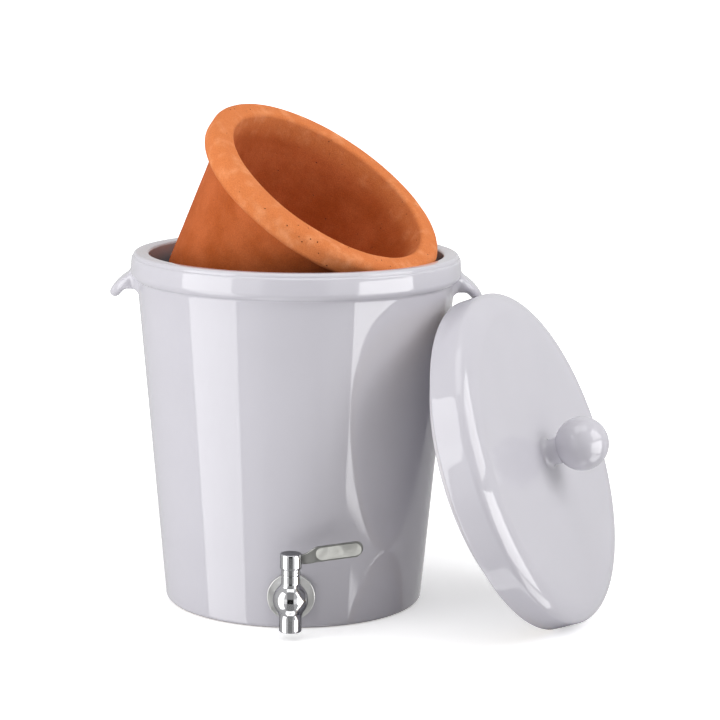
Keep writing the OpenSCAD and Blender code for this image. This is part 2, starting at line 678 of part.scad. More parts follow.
crock();
filter_pot();
lid();
tap_body();
tap_shank();
escutcheon();
outer_gasket();
inner_gasket();
inner_washer();
lock_nut();
inlet_seat();
outlet_seat();
valve_ball();
valve_stem();
stem_o_rings();
thrust_washer();
retaining_collar();
stop_pin();
handle_cap();
lever();
lever_plate();
handle_grub_screw();
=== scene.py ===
"""Looks of a gravity water filter: glazed crock, terracotta filter pot, leaning lid and steel tap."""
import logging
import math
from dataclasses import dataclass
from enum import Enum

import bmesh
import bpy
import numpy as np
from mathutils import Matrix, Vector, noise


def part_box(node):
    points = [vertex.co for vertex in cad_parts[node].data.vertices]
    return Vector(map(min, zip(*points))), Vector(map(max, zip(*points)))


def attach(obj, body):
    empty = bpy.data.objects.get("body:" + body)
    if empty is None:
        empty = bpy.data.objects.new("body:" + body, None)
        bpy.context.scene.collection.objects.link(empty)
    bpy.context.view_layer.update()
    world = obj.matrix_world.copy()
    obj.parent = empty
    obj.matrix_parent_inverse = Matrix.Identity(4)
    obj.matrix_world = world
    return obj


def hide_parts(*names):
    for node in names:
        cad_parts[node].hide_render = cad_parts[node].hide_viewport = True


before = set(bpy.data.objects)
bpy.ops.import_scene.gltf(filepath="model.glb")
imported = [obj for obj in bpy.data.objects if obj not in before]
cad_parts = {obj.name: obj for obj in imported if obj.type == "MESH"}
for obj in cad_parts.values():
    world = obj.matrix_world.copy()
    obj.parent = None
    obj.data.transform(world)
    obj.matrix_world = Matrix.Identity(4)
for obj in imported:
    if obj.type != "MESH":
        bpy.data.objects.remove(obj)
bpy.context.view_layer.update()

MM = 0.001
TAU = 2 * math.pi
MERGE = 0.002  # points closer than this, in millimetres, are one

Point = tuple[float, float]
Triple = tuple[float, float, float]
Colour = tuple[float, float, float, float]
Tree = bpy.types.NodeTree
Node = bpy.types.Node
Socket = bpy.types.NodeSocket
Material = bpy.types.Material
Mesh = bpy.types.Mesh
Piece = bpy.types.Object

# socket numbers of Map Range and of a colour Mix, whose names repeat
VALUE, FROM_LOW, FROM_HIGH, TO_LOW, TO_HIGH = range(5)
SHARE, FIRST, SECOND, MIXED = 0, 6, 7, 2
SMOOTH = {"interpolation_type": "SMOOTHSTEP"}
COLOURS = {"data_type": "RGBA"}
WHITE = (1.0, 1.0, 1.0, 1.0)

log = logging.getLogger("water_filter")


# ---------------------------------------------------------------- helpers

def linear(code: str) -> Colour:
    """Turns an sRGB hex colour into linear RGBA.

    Args:
        code: Six hex digits, with or without a leading #.

    Returns:
        Linear red, green, blue and an alpha of 1.
    """
    digits = code.lstrip("#")
    parts = [int(digits[i:i + 2], 16) / 255 for i in (0, 2, 4)]
    bent = [c / 12.92 if c <= 0.04045 else ((c + 0.055) / 1.055) ** 2.4 for c in parts]
    return (bent[0], bent[1], bent[2], 1.0)


def add_node(tree: Tree, kind: str, settings: dict | None = None,
             sockets: dict | None = None) -> Node:
    """Adds a node with its settings, and sets or links its inputs.

    Args:
        tree: The node tree it goes into.
        kind: The node's type name.
        settings: Attribute name to value.
        sockets: Input name or index to a value, or to the output socket that feeds it.

    Returns:
        The new node.
    """
    node = tree.nodes.new(kind)
    for name, value in (settings or {}).items():
        setattr(node, name, value)
    for key, value in (sockets or {}).items():
        if isinstance(value, Socket):
            tree.links.new(value, node.inputs[key])
        else:
            node.inputs[key].default_value = value
    return node


def put(name: str, data: bpy.types.ID) -> Piece:
    """Makes an object of a mesh, a lamp or a camera, and links it to the scene."""
    made = bpy.data.objects.new(name, data)
    bpy.context.scene.collection.objects.link(made)
    return made


def per_mm(size: float) -> float:
    """Scale of a texture whose features are that many millimetres across."""
    return 1 / (size * MM)


def arc(centre: Point, radius: float, start: float, end: float, steps: int) -> list[Point]:
    """Points along an arc, in millimetres.

    Args:
        centre: Centre of the arc.
        radius: Its radius.
        start: First angle, in degrees.
        end: Last angle, in degrees.
        steps: Number of straight pieces.

    Returns:
        The points from start to end, both included.
    """
    angles = [math.radians(start + (end - start) * i / steps) for i in range(steps + 1)]
    return [(centre[0] + radius * math.cos(a), centre[1] + radius * math.sin(a)) for a in angles]


def dense(points: list[Point], step: float) -> list[Point]:
    """Adds points so that no stretch of an outline is longer than step.

    Args:
        points: The outline's points.
        step: The longest stretch, in millimetres.

    Returns:
        The outline with the added points.
    """
    out = [points[0]]
    for a, b in zip(points, points[1:]):
        length = math.dist(a, b)
        if length < 1e-6:
            continue
        count = max(1, math.ceil(length / step))
        out += [(a[0] + (b[0] - a[0]) * k / count, a[1] + (b[1] - a[1]) * k / count)
                for k in range(1, count + 1)]
    return out


# ---------------------------------------------------------------- finishes

@dataclass(frozen=True)
class Finish:
    """A surface finish. Subclasses add the nodes that the real surface needs."""

    name: str

    def build(self) -> Material:
        """Makes the material."""
        material = bpy.data.materials.new(self.name)
        material.use_nodes = True
        tree = material.node_tree
        tree.nodes.clear()
        shader = add_node(tree, "ShaderNodeBsdfPrincipled")
        add_node(tree, "ShaderNodeOutputMaterial", sockets={"Surface": shader.outputs[0]})
        place = add_node(tree, "ShaderNodeTexCoord").outputs["Object"]
        self.dress(tree, shader, place)
        return material

    def dress(self, tree: Tree, shader: Node, place: Socket) -> None:
        """Adds the nodes of this finish.

        Args:
            tree: The material's nodes.
            shader: Its Principled shader.
            place: Object coordinates, in metres.
        """


def lay_colours(tree: Tree, base: Colour | Socket, layers: list[tuple[Socket, Colour | Socket]]) -> Socket:
    """Lays colours over a base one after another, each where its own share says.

    Args:
        tree: The material's nodes.
        base: The colour underneath.
        layers: The share, from 0 to 1, and the colour of each layer.

    Returns:
        The colour that results.
    """
    for share, colour in layers:
        mixed = add_node(tree, "ShaderNodeMix", COLOURS, {SHARE: share, FIRST: base, SECOND: colour})
        base = mixed.outputs[MIXED]
    return base


def emboss(tree: Tree, shader: Node, layers: list[tuple[Socket, float]]) -> None:
    """Stacks heights on a surface, from the coarsest to the finest.

    Args:
        tree: The material's nodes.
        shader: The shader that takes the normal.
        layers: Each height, from 0 to 1, and the depth in millimetres that 1 stands for.
    """
    under = {}
    for height, depth in layers:
        raised = add_node(tree, "ShaderNodeBump",
                          sockets={"Strength": 1.0, "Distance": depth * MM, "Height": height, **under})
        under = {"Normal": raised.outputs[0]}
    tree.links.new(under["Normal"], shader.inputs["Normal"])


def speckle(tree: Tree, place: Socket, size: float, low: float, high: float,
            detail: float = 3.0) -> Socket:
    """Noise cut to a range.

    Args:
        tree: The material's nodes.
        place: Coordinates.
        size: Size of a blotch, in millimetres.
        low: Noise value that becomes 0.
        high: Noise value that becomes 1.
        detail: Octaves of the noise.

    Returns:
        The value, from 0 to 1.
    """
    cloud = add_node(tree, "ShaderNodeTexNoise",
                     sockets={"Vector": place, "Scale": per_mm(size), "Detail": detail})
    cut = add_node(tree, "ShaderNodeMapRange", SMOOTH,
                   {VALUE: cloud.outputs[0], FROM_LOW: low, FROM_HIGH: high, TO_LOW: 0.0, TO_HIGH: 1.0})
    return cut.outputs[0]


@dataclass(frozen=True)
class GlossGlaze(Finish):
    """Stoneware dipped in a pale lavender-grey gloss glaze and fired.

    The glaze is glass, so it has sharp reflections over a coloured body. It lies in slow waves
    of a few centimetres, and the attribute "bare" marks where it was wiped off before firing.
    """

    glaze: str = "#C6C4CB"
    thick: str = "#C3C1C8"
    # painted shade: inner is a darker, cooler glaze colour that stands in for the shade deep inside the
    # crock
    inner: str = "#758791"
    clay: str = "#CDBDA6"
    clay_grit: str = "#BBA98F"
    roughness: float = 0.055
    bare_roughness: float = 0.75
    ior: float = 1.52
    drift_size: float = 90.0
    grit_size: float = 0.9
    wave_size: float = 34.0
    wave_depth: float = 0.07
    peel_size: float = 7.0
    peel_depth: float = 0.008

    def dress(self, tree: Tree, shader: Node, place: Socket) -> None:
        """Adds glaze waves, a faint drift of tone, painted shade inside the crock and the wiped clay.

        Args:
            tree: The material's nodes.
            shader: Its Principled shader.
            place: Object coordinates, in metres.
        """
        drift = speckle(tree, place, self.drift_size, 0.2, 0.8, 1.0)
        inside, bare = (add_node(tree, "ShaderNodeAttribute", {"attribute_name": name}).outputs["Fac"]
                        for name in ("inside", "bare"))
        grit = speckle(tree, place, self.grit_size, 0.3, 0.7)
        body = lay_colours(tree, linear(self.clay), [(grit, linear(self.clay_grit))])
        # the attribute "inside" lays the painted shade of the crock's interior
        tone = lay_colours(tree, linear(self.glaze), [(drift, linear(self.thick)),
                                                      (inside, linear(self.inner)), (bare, body)])
        tree.links.new(tone, shader.inputs["Base Color"])
        rough = add_node(tree, "ShaderNodeMapRange",
                         sockets={VALUE: bare, TO_LOW: self.roughness, TO_HIGH: self.bare_roughness})
        tree.links.new(rough.outputs[0], shader.inputs["Roughness"])
        shader.inputs["IOR"].default_value = self.ior
        waves, peel = (add_node(tree, "ShaderNodeTexNoise",
                                sockets={"Vector": place, "Scale": per_mm(size), "Detail": 1.0}).outputs[0]
                       for size in (self.wave_size, self.peel_size))
        emboss(tree, shader, [(waves, self.wave_depth), (peel, self.peel_depth)])


@dataclass(frozen=True)
class Terracotta(Finish):
    """Low-fired red clay pressed with sawdust: porous, matt, blotched, with burnt-out pits."""

    deep: str = "#A45826"
    # painted shade: mid, the wall's colour, is darker than rim, the rim's colour, to stand in for the shade
    # that falls on the wall under the rim
    mid: str = "#B96C3F"
    rim: str = "#D08654"
    pale: str = "#E4A87E"
    # painted shade: the dark colour laid in the pits
    pit_shade: str = "#5E2A14"
    dark_sand: str = "#8E4420"
    light_sand: str = "#F0AC7E"
    sand_share: float = 0.45
    roughness: float = 0.9
    specular: float = 0.18
    blotch_size: float = 42.0
    rubbed_size: float = 16.0
    grain_size: float = 1.1
    grain_depth: float = 0.22
    swell_size: float = 9.0
    swell_depth: float = 0.55
    pit_gap: float = 6.5
    pit_group: float = 26.0
    pit_depth: float = 1.0

    def dress(self, tree: Tree, shader: Node, place: Socket) -> None:
        """Adds blotches, a wall darker than the rim as painted shade, chalky rubbed places on the rim, sand
        grain and pits that are painted dark as shade.

        Args:
            tree: The material's nodes.
            shader: Its Principled shader.
            place: Object coordinates, in metres.
        """
        blotch = speckle(tree, place, self.blotch_size, 0.32, 0.68, 4.0)
        # this mask is high on the rim and low on the wall: it lays the rim's rubbed wear and the painted
        # shade of the wall
        wear_and_shade = add_node(tree, "ShaderNodeAttribute", {"attribute_name": "wear_and_shade"}).outputs["Fac"]
        rubbed = speckle(tree, place, self.rubbed_size, 0.44, 0.9, 6.0)
        chalk = add_node(tree, "ShaderNodeMath", {"operation": "MULTIPLY"}, {0: rubbed, 1: wear_and_shade})
        tone = lay_colours(tree, linear(self.mid), [(blotch, linear(self.deep)), (wear_and_shade, linear(self.rim)),
                                                    (chalk.outputs[0], linear(self.pale))])
        grain = add_node(tree, "ShaderNodeTexNoise",
                         sockets={"Vector": place, "Scale": per_mm(self.grain_size), "Detail": 4.0})
        salt = add_node(tree, "ShaderNodeMapRange",
                        sockets={VALUE: grain.outputs[0], FROM_LOW: 0.3, FROM_HIGH: 0.7})
        sand = lay_colours(tree, linear(self.dark_sand), [(salt.outputs[0], linear(self.light_sand))])
        sandy = add_node(tree, "ShaderNodeMix", {**COLOURS, "blend_type": "SOFT_LIGHT"},
                         {SHARE: self.sand_share, FIRST: tone, SECOND: sand})
        # burnt-out sawdust leaves pits about 1.5 mm across, in groups; they are pressed in by the bump and
        # painted dark as painted shade inside them
        cells = add_node(tree, "ShaderNodeTexVoronoi",
                         sockets={"Vector": place, "Scale": per_mm(self.pit_gap), "Randomness": 1.0})
        hole = add_node(tree, "ShaderNodeMapRange", SMOOTH,
                        {VALUE: cells.outputs["Distance"], FROM_LOW: 0.085, FROM_HIGH: 0.13,
                         TO_LOW: 1.0, TO_HIGH: 0.0})
        group = speckle(tree, place, self.pit_group, 0.56, 0.62, 2.0)
        pits = add_node(tree, "ShaderNodeMath", {"operation": "MULTIPLY"}, {0: hole.outputs[0], 1: group})
        clay = lay_colours(tree, sandy.outputs[MIXED], [(pits.outputs[0], linear(self.pit_shade))])
        tree.links.new(clay, shader.inputs["Base Color"])
        shader.inputs["Roughness"].default_value = self.roughness
        shader.inputs["Specular IOR Level"].default_value = self.specular
        swell = add_node(tree, "ShaderNodeTexNoise",
                         sockets={"Vector": place, "Scale": per_mm(self.swell_size), "Detail": 3.0})
        solid = add_node(tree, "ShaderNodeMath", {"operation": "SUBTRACT"}, {0: 1.0, 1: pits.outputs[0]})
        emboss(tree, shader, [(swell.outputs[0], self.swell_depth), (grain.outputs[0], self.grain_depth),
                              (solid.outputs[0], self.pit_depth)])


class Lay(Enum):
    """The way that fine polishing or brushing lines run."""

    NONE = "none"
    ROUND = "round the shank's axis"
    ALONG = "along the lever"


@dataclass(frozen=True)
class Steel(Finish):
    """Stainless steel. Turned and polished, or brushed so that fine lines catch the light."""

    colour: str = "#C9C9CB"
    roughness: float = 0.08
    edge: float = 0.05
    lay: Lay = Lay.NONE
    depth: float = 0.0
    centre: Triple = (0.0, 0.0, 0.0)
    brush_size: Triple = (18.0, 2.0, 0.22)
    turning_size: float = 0.6
    smear_size: float = 9.0

    def lines(self, tree: Tree, place: Socket) -> Socket:
        """Makes the brushing lines.

        Args:
            tree: The material's nodes.
            place: Object coordinates.

        Returns:
            A height that changes quickly across the lines and hardly along them.
        """
        moved = add_node(tree, "ShaderNodeVectorMath", {"operation": "SUBTRACT"},
                         {0: place, 1: self.centre}).outputs[0]
        if self.lay is Lay.ALONG:
            stretch = tuple(per_mm(size) for size in self.brush_size)
            vector = add_node(tree, "ShaderNodeVectorMath", {"operation": "MULTIPLY"},
                              {0: moved, 1: stretch})
        else:
            axes = add_node(tree, "ShaderNodeSeparateXYZ", sockets={0: moved})
            level = add_node(tree, "ShaderNodeVectorMath", {"operation": "MULTIPLY"},
                             {0: moved, 1: (1.0, 0.0, 1.0)})
            radius = add_node(tree, "ShaderNodeVectorMath", {"operation": "LENGTH"}, {0: level.outputs[0]})
            # real lines are 0.05 mm apart; they are drawn 0.3 mm apart so that they show
            vector = add_node(tree, "ShaderNodeCombineXYZ",
                              sockets={0: radius.outputs["Value"], 1: axes.outputs["Y"]})
            vector = add_node(tree, "ShaderNodeVectorMath", {"operation": "SCALE"},
                              {0: vector.outputs[0], "Scale": per_mm(self.turning_size)})
        return add_node(tree, "ShaderNodeTexNoise",
                        sockets={"Vector": vector.outputs[0], "Scale": 1.0, "Detail": 2.0}).outputs[0]

    def dress(self, tree: Tree, shader: Node, place: Socket) -> None:
        """Adds the metal, faint smears in its gloss and any brushing lines.

        Args:
            tree: The material's nodes.
            shader: Its Principled shader.
            place: Object coordinates, in metres.
        """
        shader.inputs["Base Color"].default_value = linear(self.colour)
        shader.inputs["Metallic"].default_value = 1.0
        shader.inputs["Specular Tint"].default_value = (self.edge, self.edge, self.edge, 1.0)
        smear = speckle(tree, place, self.smear_size, 0.3, 0.7, 2.0)
        gloss = add_node(tree, "ShaderNodeMapRange", sockets={
            VALUE: smear, TO_LOW: self.roughness * 0.85, TO_HIGH: self.roughness * 1.2})
        tree.links.new(gloss.outputs[0], shader.inputs["Roughness"])
        if self.lay is not Lay.NONE:
            emboss(tree, shader, [(self.lines(tree, place), self.depth)])


@dataclass(frozen=True)
class Moulded(Finish):
    """Moulded seals: silicone, nitrile rubber or turned PTFE, with a fine cast grain."""

    colour: str = "#E4E3DE"
    roughness: float = 0.5
    milky: float = 0.0
    milk_depth: float = 2.0
    grain_size: float = 1.5
    grain_depth: float = 0.02

    def dress(self, tree: Tree, shader: Node, place: Socket) -> None:
        """Adds the body colour, a little light under the skin and the cast grain.

        Args:
            tree: The material's nodes.
            shader: Its Principled shader.
            place: Object coordinates, in metres.
        """
        grain = speckle(tree, place, self.grain_size, 0.3, 0.7)
        body = linear(self.colour)
        shade = tuple(c * 0.92 for c in body[:3]) + (1.0,)
        tree.links.new(lay_colours(tree, body, [(grain, shade)]), shader.inputs["Base Color"])
        shader.inputs["Roughness"].default_value = self.roughness
        shader.inputs["Subsurface Weight"].default_value = self.milky
        shader.inputs["Subsurface Radius"].default_value = (self.milk_depth * MM,) * 3
        emboss(tree, shader, [(grain, self.grain_depth)])


# ---------------------------------------------------------------- turned forms

class TurnedForm:
    """Geometry Nodes that turn an outline about the vertical axis, as a wheel or a lathe does."""

    def __init__(self) -> None:
        """Builds the node tree once for all turned pieces."""
        self.tree = bpy.data.node_groups.new("turned_form", "GeometryNodeTree")
        tree, face = self.tree, self.tree.interface
        face.new_socket("Outline", in_out="INPUT", socket_type="NodeSocketGeometry")
        self.segments, self.finish = (
            face.new_socket(name, in_out="INPUT", socket_type="NodeSocket" + kind).identifier
            for name, kind in (("Segments", "Int"), ("Finish", "Material")))
        face.new_socket("Piece", in_out="OUTPUT", socket_type="NodeSocketGeometry")
        given = add_node(tree, "NodeGroupInput")
        count = add_node(tree, "GeometryNodeAttributeDomainSize", {"component": "MESH"},
                         {"Geometry": given.outputs[0]})
        rows = count.outputs["Point Count"]
        columns = add_node(tree, "ShaderNodeMath", {"operation": "ADD"}, {0: given.outputs[1], 1: 1.0})
        grid = add_node(tree, "GeometryNodeMeshGrid",
                        sockets={"Vertices X": columns.outputs[0], "Vertices Y": rows})
        index = add_node(tree, "GeometryNodeInputIndex").outputs[0]
        row = add_node(tree, "ShaderNodeMath", {"operation": "MODULO"}, {0: index, 1: rows})
        ratio = add_node(tree, "ShaderNodeMath", {"operation": "DIVIDE"}, {0: index, 1: rows})
        column = add_node(tree, "ShaderNodeMath", {"operation": "FLOOR"}, {0: ratio.outputs[0]})
        share = add_node(tree, "ShaderNodeMath", {"operation": "DIVIDE"},
                         {0: column.outputs[0], 1: given.outputs[1]})
        angle = add_node(tree, "ShaderNodeMath", {"operation": "MULTIPLY"}, {0: share.outputs[0], 1: TAU})
        position = add_node(tree, "GeometryNodeInputPosition").outputs[0]
        sample = add_node(tree, "GeometryNodeSampleIndex", {"data_type": "FLOAT_VECTOR", "domain": "POINT"},
                          {"Geometry": given.outputs[0], "Value": position, "Index": row.outputs[0]})
        turned = add_node(tree, "ShaderNodeVectorRotate", {"rotation_type": "Z_AXIS"},
                          {"Vector": sample.outputs[0], "Angle": angle.outputs[0]})
        placed = add_node(tree, "GeometryNodeSetPosition",
                          sockets={"Geometry": grid.outputs["Mesh"], "Position": turned.outputs[0]})
        closed = add_node(tree, "GeometryNodeMergeByDistance",
                          sockets={"Geometry": placed.outputs[0], "Distance": MERGE * MM})
        smooth = add_node(tree, "GeometryNodeSetShadeSmooth", sockets={"Geometry": closed.outputs[0]})
        real = add_node(tree, "GeometryNodeRealizeInstances", sockets={"Geometry": smooth.outputs[0]})
        dressed = add_node(tree, "GeometryNodeSetMaterial",
                           sockets={"Geometry": real.outputs[0], "Material": given.outputs[2]})
        add_node(tree, "NodeGroupOutput", sockets={0: dressed.outputs[0]})

    def turn(self, name: str, outline: list[Point], segments: int, finish: Material) -> Piece:
        """Turns an outline into a closed piece.

        Args:
            name: Name of the piece.
            outline: Radius and height of each point, in millimetres, from axis to axis or closed.
            segments: Number of steps round the axis.
            finish: The material.

        Returns:
            The piece, as a plain mesh about the Z axis.
        """
        mesh = bpy.data.meshes.new(name + "_outline")
        verts = [(r * MM, 0.0, z * MM) for r, z in outline]
        mesh.from_pydata(verts, [(i, i + 1) for i in range(len(verts) - 1)], [])
        piece = put(name, mesh)
        turning = piece.modifiers.new("turned_form", "NODES")
        turning.node_group = self.tree
        turning[self.segments] = segments
        turning[self.finish] = finish
        seen = bpy.context.evaluated_depsgraph_get()
        result = bpy.data.meshes.new_from_object(piece.evaluated_get(seen))
        piece.modifiers.remove(turning)
        piece.data = result
        face_outwards(result)
        return piece


def face_outwards(mesh: Mesh) -> None:
    """Points a closed mesh's faces outwards and shades them smooth.

    Args:
        mesh: The mesh, with its doubles merged.
    """
    work = bmesh.new()
    work.from_mesh(mesh)
    bmesh.ops.recalc_face_normals(work, faces=work.faces)
    for face in work.faces:
        face.smooth = True
    work.to_mesh(mesh)
    work.free()


def piece_from_grid(name: str, rows: np.ndarray, finish: Material, closed_u: bool = True) -> Piece:
    """Makes a closed piece from rings of points that run round it.

    Args:
        name: Name of the piece.
        rows: Array of columns by rows by 3, in millimetres; the first and last rows shrink to points.
        finish: The material.
        closed_u: Whether the last column joins the first.

    Returns:
        The piece.
    """
    columns, count = rows.shape[:2]
    verts = rows.reshape(-1, 3) * MM
    faces = []
    last = columns if closed_u else columns - 1
    for i in range(last):
        j = (i + 1) % columns
        for k in range(count - 1):
            faces.append((i * count + k, j * count + k, j * count + k + 1, i * count + k + 1))
    mesh = bpy.data.meshes.new(name)
    mesh.from_pydata(verts.tolist(), [], faces)
    work = bmesh.new()
    work.from_mesh(mesh)
    bmesh.ops.remove_doubles(work, verts=work.verts, dist=MERGE * MM)
    bmesh.ops.dissolve_degenerate(work, dist=MERGE / 2 * MM, edges=work.edges)
    bmesh.ops.holes_fill(work, edges=[edge for edge in work.edges if edge.is_boundary])
    work.to_mesh(mesh)
    work.free()
    face_outwards(mesh)
    mesh.materials.append(finish)
    return put(name, mesh)


def mark(mesh: Mesh, name: str, values: np.ndarray) -> None:
    """Writes one value a point into a mesh, for a finish to read."""
    layer = mesh.attributes.new(name, "FLOAT", "POINT")
    layer.data.foreach_set("value", values.astype(np.float32))


def positions(mesh: Mesh) -> np.ndarray:
    """Point positions of a mesh, in metres."""
    flat = np.zeros(len(mesh.vertices) * 3, np.float32)
    mesh.vertices.foreach_get("co", flat)
    return flat.reshape(-1, 3).astype(float)


def leaning(turn: float, tilt: float) -> Matrix:
    """Pose of an upright piece that is tipped and then turned about the vertical, in degrees."""
    return Matrix.Rotation(math.radians(turn), 4, "Z") @ Matrix.Rotation(math.radians(tilt), 4, "Y")


def seat_on_node(piece: Piece, node: str) -> None:
    """Shifts a piece's mesh so that the middle of its box is the middle of the CAD node's box."""
    low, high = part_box(node)
    co = positions(piece.data)
    middle = (Vector(co.min(0)) + Vector(co.max(0))) / 2
    piece.data.transform(Matrix.Translation((low + high) / 2 - middle))


def hand_over(piece: Piece, node: str, body: str) -> None:
    """Gives a finished piece its body and the CAD node that it stands for.

    Args:
        piece: The finished piece.
        node: The CAD node that it replaces.
        body: The body that it rides on.
    """
    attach(piece, body)
    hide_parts(node)
    log.info("%s: %d faces on %s", piece.name, len(piece.data.polygons), body)


# ---------------------------------------------------------------- crock

@dataclass
class Crock:
    """The glazed crock with its rim band, rolled lip, two ears and inner lugs. Millimetres."""

    finish: Material
    former: TurnedForm
    height: float = 364.0
    base_r: float = 133.3
    band_r: float = 170.0
    band_step: float = 7.0
    band_h: float = 34.0
    wall_t: float = 12.0
    floor_t: float = 14.0
    crown_drop: float = 1.3
    foot_round: float = 5.0
    floor_round: float = 4.0
    step_round: float = 3.5
    band_round: float = 8.0
    band_top_round: float = 2.6
    mouth_round: float = 2.6
    lip_r: float = 3.7
    ear_centre: Point = (153.1, 301.8)
    ear_bend_r: float = 37.5
    ear_t: float = 10.6
    ear_tip_turn: float = 28.0
    ear_tongue: float = 26.0
    ear_half_w: float = 24.0
    ear_root_run: float = 14.0
    ear_flare: float = 19.2
    ear_lift: float = 2.5
    ear_lift_from: float = 25.0
    ear_lift_run: float = 6.0
    ear_web_z: float = 324.5
    ear_web_fall: float = 4.0
    ear_web_x: float = 168.0
    ear_web_run: float = 5.5
    ear_web_soft: float = 0.9
    ear_far_x: float = 188.0
    ear_plan_r: Point = (165.0, 72.0)
    ear_steps: int = 61
    ear_root_steps: int = 14
    ear_edge_steps: int = 9
    ear_skin_steps: int = 12
    lug_turn: float = -31.0
    lug_reach: float = 27.0
    lug_top: float = 337.0
    lug_w: float = 40.0
    lug_t: float = 9.0
    lug_round: float = 2.2
    inner_shade_top: float = 352.0
    inner_shade_fade: float = 12.0
    foot_bare: float = 0.9

    def wall_r(self, z: float) -> float:
        """Outer radius of the wall at a height."""
        band_z = self.height - self.band_h
        return self.base_r + (self.band_r - self.band_step - self.base_r) * z / band_z

    def outline(self) -> list[Point]:
        """Outline from the middle of the base, up the wall, over band and lip, and down inside."""
        neck, foot, inner = self.band_r - self.band_step, self.foot_round, self.floor_round
        mouth, band_z = neck - self.wall_t, self.height - self.band_h
        crown = self.height - self.crown_drop
        points = [(0.0, 0.0), *arc((self.wall_r(foot) - foot, foot), foot, -90, 0, 8)]
        points += arc((neck + 3.7, band_z + 2.5), self.step_round, 180, 118, 6)
        points += arc((self.band_r - self.band_round, band_z + 13), self.band_round, -62, 0, 12)
        points += [(self.band_r - 0.4, band_z + 19)]
        points += arc((self.band_r - 3.6, band_z + 26), self.band_top_round, 10, 72, 6)
        points += arc((mouth + 12.4, crown - self.lip_r), self.lip_r, -4, 90, 10)
        points += [(mouth + 6, crown - 0.1)]
        points += [*arc((mouth + self.mouth_round, crown - 3.2), self.mouth_round, 85, 180, 8),
                   (mouth, band_z)]
        turn_z = self.floor_t + inner
        points += arc((self.wall_r(turn_z) - self.wall_t - inner, turn_z), inner, 0, -90, 6)
        return dense([*points, (0.0, self.floor_t)], 6.0)

    def ear_layers(self, run: np.ndarray, off: np.ndarray, full: np.ndarray, top: bool) -> np.ndarray:
        """Points on an ear's upper or lower skin.

        Args:
            run: Distance up from the tip, along the bend.
            off: Distance sideways from the middle.
            full: Share of the full thickness, 0 at the rounded edge.
            top: Whether this is the upper skin.

        Returns:
            Array with a last axis of 3, in millimetres, for the ear on the right.
        """
        half = self.ear_t / 2
        turn = math.radians(self.ear_tip_turn) + (run - half) / self.ear_bend_r
        x = self.ear_centre[0] + self.ear_bend_r * np.cos(turn)
        z = self.ear_centre[1] + self.ear_bend_r * np.sin(turn)
        if top:
            past = np.clip((run - self.ear_lift_from) / self.ear_lift_run, 0, 1.6)
            lift = half + self.ear_lift * past ** 2
            skin_x, skin_z = x + lift * np.cos(turn), z + lift * np.sin(turn)
        else:
            skin_x, skin_z = x - half * np.cos(turn), z - half * np.sin(turn)
            past = np.clip((self.ear_web_x - skin_x) / self.ear_web_run, 0, 1.3)
            web, soft = self.ear_web_z - self.ear_web_fall * past ** 2, self.ear_web_soft
            skin_z = -np.logaddexp(-skin_z / soft, -web / soft) * soft
        x, z = x + (skin_x - x) * full, z + (skin_z - z) * full
        round_r = np.interp(x, [self.band_r - self.band_step, self.ear_far_x], self.ear_plan_r)
        return np.stack([x - off ** 2 / (2 * round_r), off, z], -1)

    def ear(self) -> Piece:
        """Builds the right ear: a bent tongue with a rounded edge that flares where it joins the wall."""
        half, width = self.ear_t / 2, self.ear_half_w
        root = np.linspace(0, 1, self.ear_root_steps + 1)[1:]
        swing = np.radians(np.linspace(-90, 90, self.ear_steps))
        side_run = self.ear_tongue + self.ear_root_run * root
        side_off = width + self.ear_flare * root ** 2
        run = np.r_[side_run[::-1], self.ear_tongue * (1 - np.cos(swing)), side_run]
        off = np.r_[-side_off[::-1], width * np.sin(swing), side_off]
        middle = np.r_[side_run[::-1], np.full(self.ear_steps, self.ear_tongue), side_run]
        reach = np.hypot(run - middle, off)
        rise = np.radians(np.linspace(0, 90, self.ear_edge_steps))
        skin = np.linspace(half / width, 1, self.ear_skin_steps + 1)[1:]
        inset = np.r_[half * (1 - np.cos(rise)) / width, skin]
        full = np.r_[np.sin(rise), np.ones(self.ear_skin_steps)]
        share = inset[None] * np.where(inset[None] < 1, width / np.maximum(reach, 6)[:, None], 1)
        share = np.minimum(share, 1.0)
        runs = run[:, None] + (middle - run)[:, None] * share
        offs = off[:, None] * (1 - share)
        depth = np.broadcast_to(full, runs.shape)
        upper = self.ear_layers(runs, offs, depth, True)[:, ::-1]
        lower = self.ear_layers(runs, offs, depth, False)[:, 1:]
        return piece_from_grid("crock_ear", np.concatenate([upper, lower], 1), self.finish, False)

    def lugs(self, work: bmesh.types.BMesh) -> None:
        """Adds the four lugs inside the mouth that carry the filter pot.

        Args:
            work: The mesh that they go into.
        """
        mouth = self.band_r - self.band_step - self.wall_t
        tip, root = mouth - self.lug_reach, mouth + 6
        fall = root - tip
        side = [(tip, self.lug_top), (root, self.lug_top), (root, self.lug_top - self.lug_t - fall),
                (tip, self.lug_top - self.lug_t)]
        for k in range(4):
            made = []
            for y in (-self.lug_w / 2, self.lug_w / 2):
                made.append([work.verts.new((x * MM, y * MM, z * MM)) for x, z in side])
            faces = [work.faces.new(made[0][::-1]), work.faces.new(made[1])]
            faces += [work.faces.new((made[0][a], made[0][b], made[1][b], made[1][a]))
                      for a, b in ((0, 1), (1, 2), (2, 3), (3, 0))]
            verts = made[0] + made[1]
            edges = list({e for f in faces for e in f.edges})
            bmesh.ops.recalc_face_normals(work, faces=faces)
            bevel = bmesh.ops.bevel(work, geom=edges, offset=self.lug_round * MM, segments=4, profile=0.5,
                                    affect="EDGES")
            verts = list({v for f in bevel["faces"] for v in f.verts} | {v for v in verts if v.is_valid})
            bmesh.ops.rotate(work, verts=verts, cent=(0, 0, 0),
                             matrix=Matrix.Rotation(math.radians(self.lug_turn + 90 * k), 3, "Z"))

